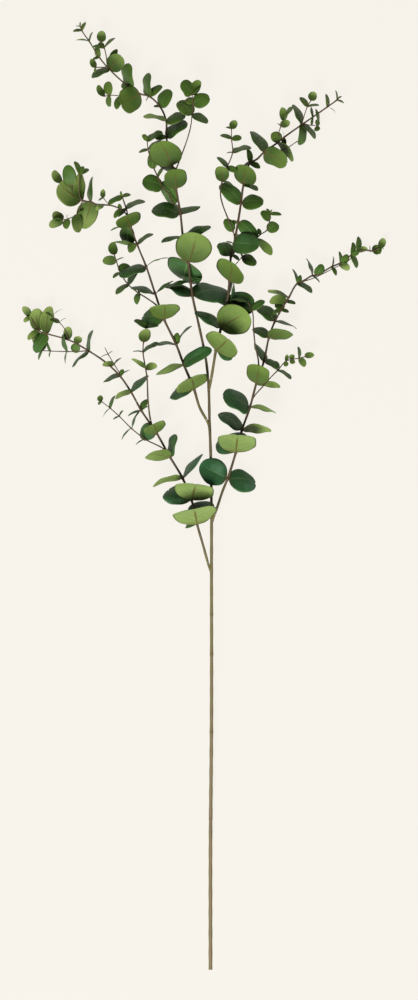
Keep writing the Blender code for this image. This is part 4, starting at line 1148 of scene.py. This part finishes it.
def stem_mesh(name, parts):
    verts, edges, radii, wood, marks = [], [], [], [], []
    for stem, start, end, collared in parts:
        first = len(verts)
        for p, r, w, m in stem_line(stem, start, end, collared):
            verts.append(tuple((p - ORIGIN) * MM))
            radii.append(r * MM)
            wood.append(w)
            marks.append(m)
        edges += [(i, i + 1) for i in range(first, len(verts) - 1)]
    mesh = bpy.data.meshes.new(name + "_lines")
    mesh.from_pydata(verts, edges, [])
    for label, values in (("thickness", radii), ("wood", wood), ("ring", marks)):
        mesh.attributes.new(label, "FLOAT", "POINT").data.foreach_set("value", values)
    return bpy.data.objects.new(name + "_lines", mesh)


# %% Leaf points
TUCK_IN = 0.6  # how far a grown blade goes back into its collar, mm
GROWN_LENGTH = 16  # from this length on, a leaf has one of the four grown outlines
PALE_TWIGS = {"left_mid_twig_tip", "left_low_tip", "left_low_twig_up", "right_low_tip"}
PALENESS = 0.7  # of the lower faces on those twigs


def leaf_age(leaf):
    """0 for an old leaf low on the branch, 1 for a young one at a tip."""
    height = (leaf.place[1] + 40) / 480
    youth = (34 - leaf.length) / 28
    return float(np.clip(0.55 * height + 0.5 * youth, 0, 1))


def leaf_points(name, own):
    """A point for each leaf, with all that the growth group and the leaf material read."""
    verts, facing, size, kind, number, age, tone, pale = [], [], [], [], [], [], [], []
    for leaf in own:
        base = leaf.base - TUCK_IN * leaf.along if leaf.free else leaf.base
        rotation = Matrix([leaf.along, np.cross(leaf.up, leaf.along), leaf.up]).transposed()
        verts.append(tuple((base - ORIGIN) * MM))
        facing += list(rotation.to_euler())
        size += [leaf.length * MM, leaf.ratio * leaf.length * MM, leaf.length * MM]
        kinds = (0, 4) if leaf.length > GROWN_LENGTH else (4, 7)
        kind.append(int(rng.randint(*kinds)))
        number.append(leaves.index(leaf))
        age.append(leaf_age(leaf))
        tone.append(float(rng.uniform(-1, 1)))
        pale.append(PALENESS if leaf.owner in PALE_TWIGS else 0.0)
    mesh = bpy.data.meshes.new(name + "_points")
    mesh.from_pydata(verts, [], [])
    for label, values in (("facing", facing), ("size", size)):
        mesh.attributes.new(label, "FLOAT_VECTOR", "POINT").data.foreach_set("vector", values)
    for label, values in (("kind", kind), ("leaf", number)):
        mesh.attributes.new(label, "INT", "POINT").data.foreach_set("value", values)
    for label, values in (("age", age), ("tone", tone), ("pale", pale)):
        mesh.attributes.new(label, "FLOAT", "POINT").data.foreach_set("value", values)
    return mesh


# %% [markdown]
# ## Painted shade
#
# Painted shade: a blade deep in the crown is painted darker under the leaves above it. Rays go
# up from every point of a piece, and the share of them that meets another leaf is its painted
# shade.
# A blade that would dip into the table is pressed flat onto it instead.

# %% Painted shade
SHADE_RAYS = [(0, 0, 1)] + [
    (math.sin(tilt) * math.cos(way), math.sin(tilt) * math.sin(way), math.cos(tilt))
    for tilt, ways in ((0.5, 4), (0.95, 4))
    for way in np.arange(ways) * 2 * math.pi / ways + tilt
]
SHADE_START, SHADE_REACH = 2.2, 60.0
SOFTENINGS = 5
TABLE_PRESS = 0.0004  # metres above the table where a blade starts to be pressed


def coordinates(mesh):
    points = np.empty(len(mesh.vertices) * 3, np.float32)
    mesh.vertices.foreach_get("co", points)
    return points.reshape(-1, 3)


def rest_on_table(mesh):
    """Presses what would dip into the table flat onto it, and keeps upper above lower."""
    points = coordinates(mesh)
    low = points[:, 2] < TABLE_PRESS
    points[low, 2] = TABLE_PRESS * np.exp(points[low, 2] / TABLE_PRESS - 1)
    mesh.vertices.foreach_set("co", points.ravel())


def canopy():
    """All leaves as one tree for rays, and the leaf that each face belongs to."""
    verts, faces, face_leaf = [], [], []
    for number, leaf in enumerate(leaves):
        points, sides = leaf.blade()
        faces += [tuple(i + len(verts) for i in side) for side in sides]
        face_leaf += [number] * len(sides)
        verts += [tuple(p) for p in points]
    return BVHTree.FromPolygons(verts, faces), face_leaf


def shade_of(mesh, tree, face_leaf):
    """The share of the rays up from each point that a leaf other than its own blocks."""
    count = len(mesh.vertices)
    points = coordinates(mesh) / MM + ORIGIN
    own = np.full(count, -1, np.int32)
    if "leaf" in mesh.attributes:
        mesh.attributes["leaf"].data.foreach_get("value", own)
    blocked = np.zeros(count)
    for ray in SHADE_RAYS:
        way = Vector(ray)
        starts = points + SHADE_START * np.array(ray)
        for i, start in enumerate(starts):
            hit = tree.ray_cast(Vector(start), way, SHADE_REACH)[2]
            if hit is not None and face_leaf[hit] != own[i]:
                blocked[i] += 1 / len(SHADE_RAYS)
    # Spread over neighbours, so that the edge of a shaded patch is soft.
    ends = np.empty(len(mesh.edges) * 2, np.int32)
    mesh.edges.foreach_get("vertices", ends)
    a, b = ends[0::2], ends[1::2]
    near = np.bincount(a, minlength=count) + np.bincount(b, minlength=count)
    for _ in range(SOFTENINGS):
        total = np.bincount(a, blocked[b], count) + np.bincount(b, blocked[a], count)
        blocked = 0.5 * blocked + 0.5 * total / np.maximum(near, 1)
    return blocked


# %% [markdown]
# ## Growing every piece
#
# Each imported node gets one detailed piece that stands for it: a stem, a pair of leaves, or
# a green twig with its young leaves.

# %% Grow
THICK_SIDES, THIN_SIDES = 12, 8


def grow(node):
    thick = node in TIP_NAMES
    parts = [(stem, a, b, thick) for owner, stem, a, b in bars if owner == node]
    own = [leaf for leaf in leaves if leaf.owner == node]
    host = bpy.data.objects.new(node + "_seed", leaf_points(node, own))
    lines = stem_mesh(node, parts)
    bpy.context.scene.collection.objects.link(host)
    modifier = host.modifiers.new("grow", "NODES")
    modifier.node_group = GROW
    modifier[SOCKETS["Stem Lines"]] = lines
    modifier[SOCKETS["Model Leaves"]] = models
    modifier[SOCKETS["Leaf Material"]] = LEAF_LOOK
    modifier[SOCKETS["Bark Material"]] = BARK_LOOK
    modifier[SOCKETS["Stem Sides"]] = THICK_SIDES if thick else THIN_SIDES
    graph = bpy.context.evaluated_depsgraph_get()
    mesh = bpy.data.meshes.new_from_object(host.evaluated_get(graph), depsgraph=graph)
    mesh.name = node + "_look"
    piece = bpy.data.objects.new(node + "_look", mesh)
    bpy.context.scene.collection.objects.link(piece)
    for helper in (host, lines):
        data = helper.data
        bpy.data.objects.remove(helper)
        bpy.data.meshes.remove(data)
    return piece


total = 0
above = canopy()
for node in sorted(frame["nodes"]):
    piece = grow(node)
    rest_on_table(piece.data)
    layer = piece.data.attributes.new("shade", "FLOAT", "POINT")
    layer.data.foreach_set("value", shade_of(piece.data, *above))
    if node == "main_stem":
        # The flat end at the cut shows pale wood.
        piece.data.materials.append(CUT_LOOK)
        ends = [p for p in piece.data.polygons if len(p.vertices) == THICK_SIDES]
        cut = min(ends, key=lambda p: p.center.y)
        cut.material_index = len(piece.data.materials) - 1
        cut.use_smooth = False
    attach(piece, "root")
    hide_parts(node)
    total += len(piece.data.polygons)
for model in list(models.objects):
    bpy.data.objects.remove(model)
print("pieces", len(frame["nodes"]), "faces", total)

# %% [markdown]
# ## Table and light
#
# A plain pale table that glows a little, so that shadows on it stay faint, a broad soft light
# from the side of the cut end, a weak one from beyond the crown, and an even fill from all
# round.

# %% Table and light
TABLE_COLOUR, TABLE_UNLIT = (247, 243, 235), (60, 59, 57)
TABLE_GLOW = 0.95
TABLE_HALF = 12.0


def table_top():
    mesh = bpy.data.meshes.new("table")
    ways = ((-1, -1), (1, -1), (1, 1), (-1, 1))
    mesh.from_pydata([(TABLE_HALF * x, TABLE_HALF * y, 0) for x, y in ways], [], [(0, 1, 2, 3)])
    made = bpy.data.objects.new("table", mesh)
    look, tree, shader = new_material("table_paper")
    where = tree.node("ShaderNodeTexCoord")["Object"]
    grain = tree.noise(where, 60, 3)
    tree.feed(shader.inputs["Base Color"], rgba(TABLE_UNLIT))
    tree.feed(shader.inputs["Roughness"], 0.9 + (grain - 0.5) * 0.1)
    shader.inputs["Specular IOR Level"].default_value = 0.0
    shader.inputs["Emission Color"].default_value = rgba(TABLE_COLOUR)
    shader.inputs["Emission Strength"].default_value = TABLE_GLOW
    mesh.materials.append(look)
    bpy.context.scene.collection.objects.link(made)
    return made


table_top()


def area_light(name, place, target, size, power):
    data = bpy.data.lights.new(name, "AREA")
    data.shape = "DISK"
    data.size, data.energy = size, power
    made = bpy.data.objects.new(name, data)
    made.location = place
    made.rotation_euler = (Vector(target) - Vector(place)).to_track_quat("-Z", "Y").to_euler()
    bpy.context.scene.collection.objects.link(made)


area_light("key", (-0.6, -1.5, 2.5), (0, 0.15, 0), 1.5, 108)
area_light("top", (0.5, 2.2, 1.6), (0, 0.1, 0), 1.0, 4)
world = bpy.data.worlds.new("world")
world.use_nodes = True
sky = world.node_tree.nodes["Background"]
sky.inputs["Color"].default_value = (0.95, 0.97, 1.0, 1)
sky.inputs["Strength"].default_value = 0.1
bpy.context.scene.world = world
bpy.context.scene.view_settings.view_transform = "Standard"
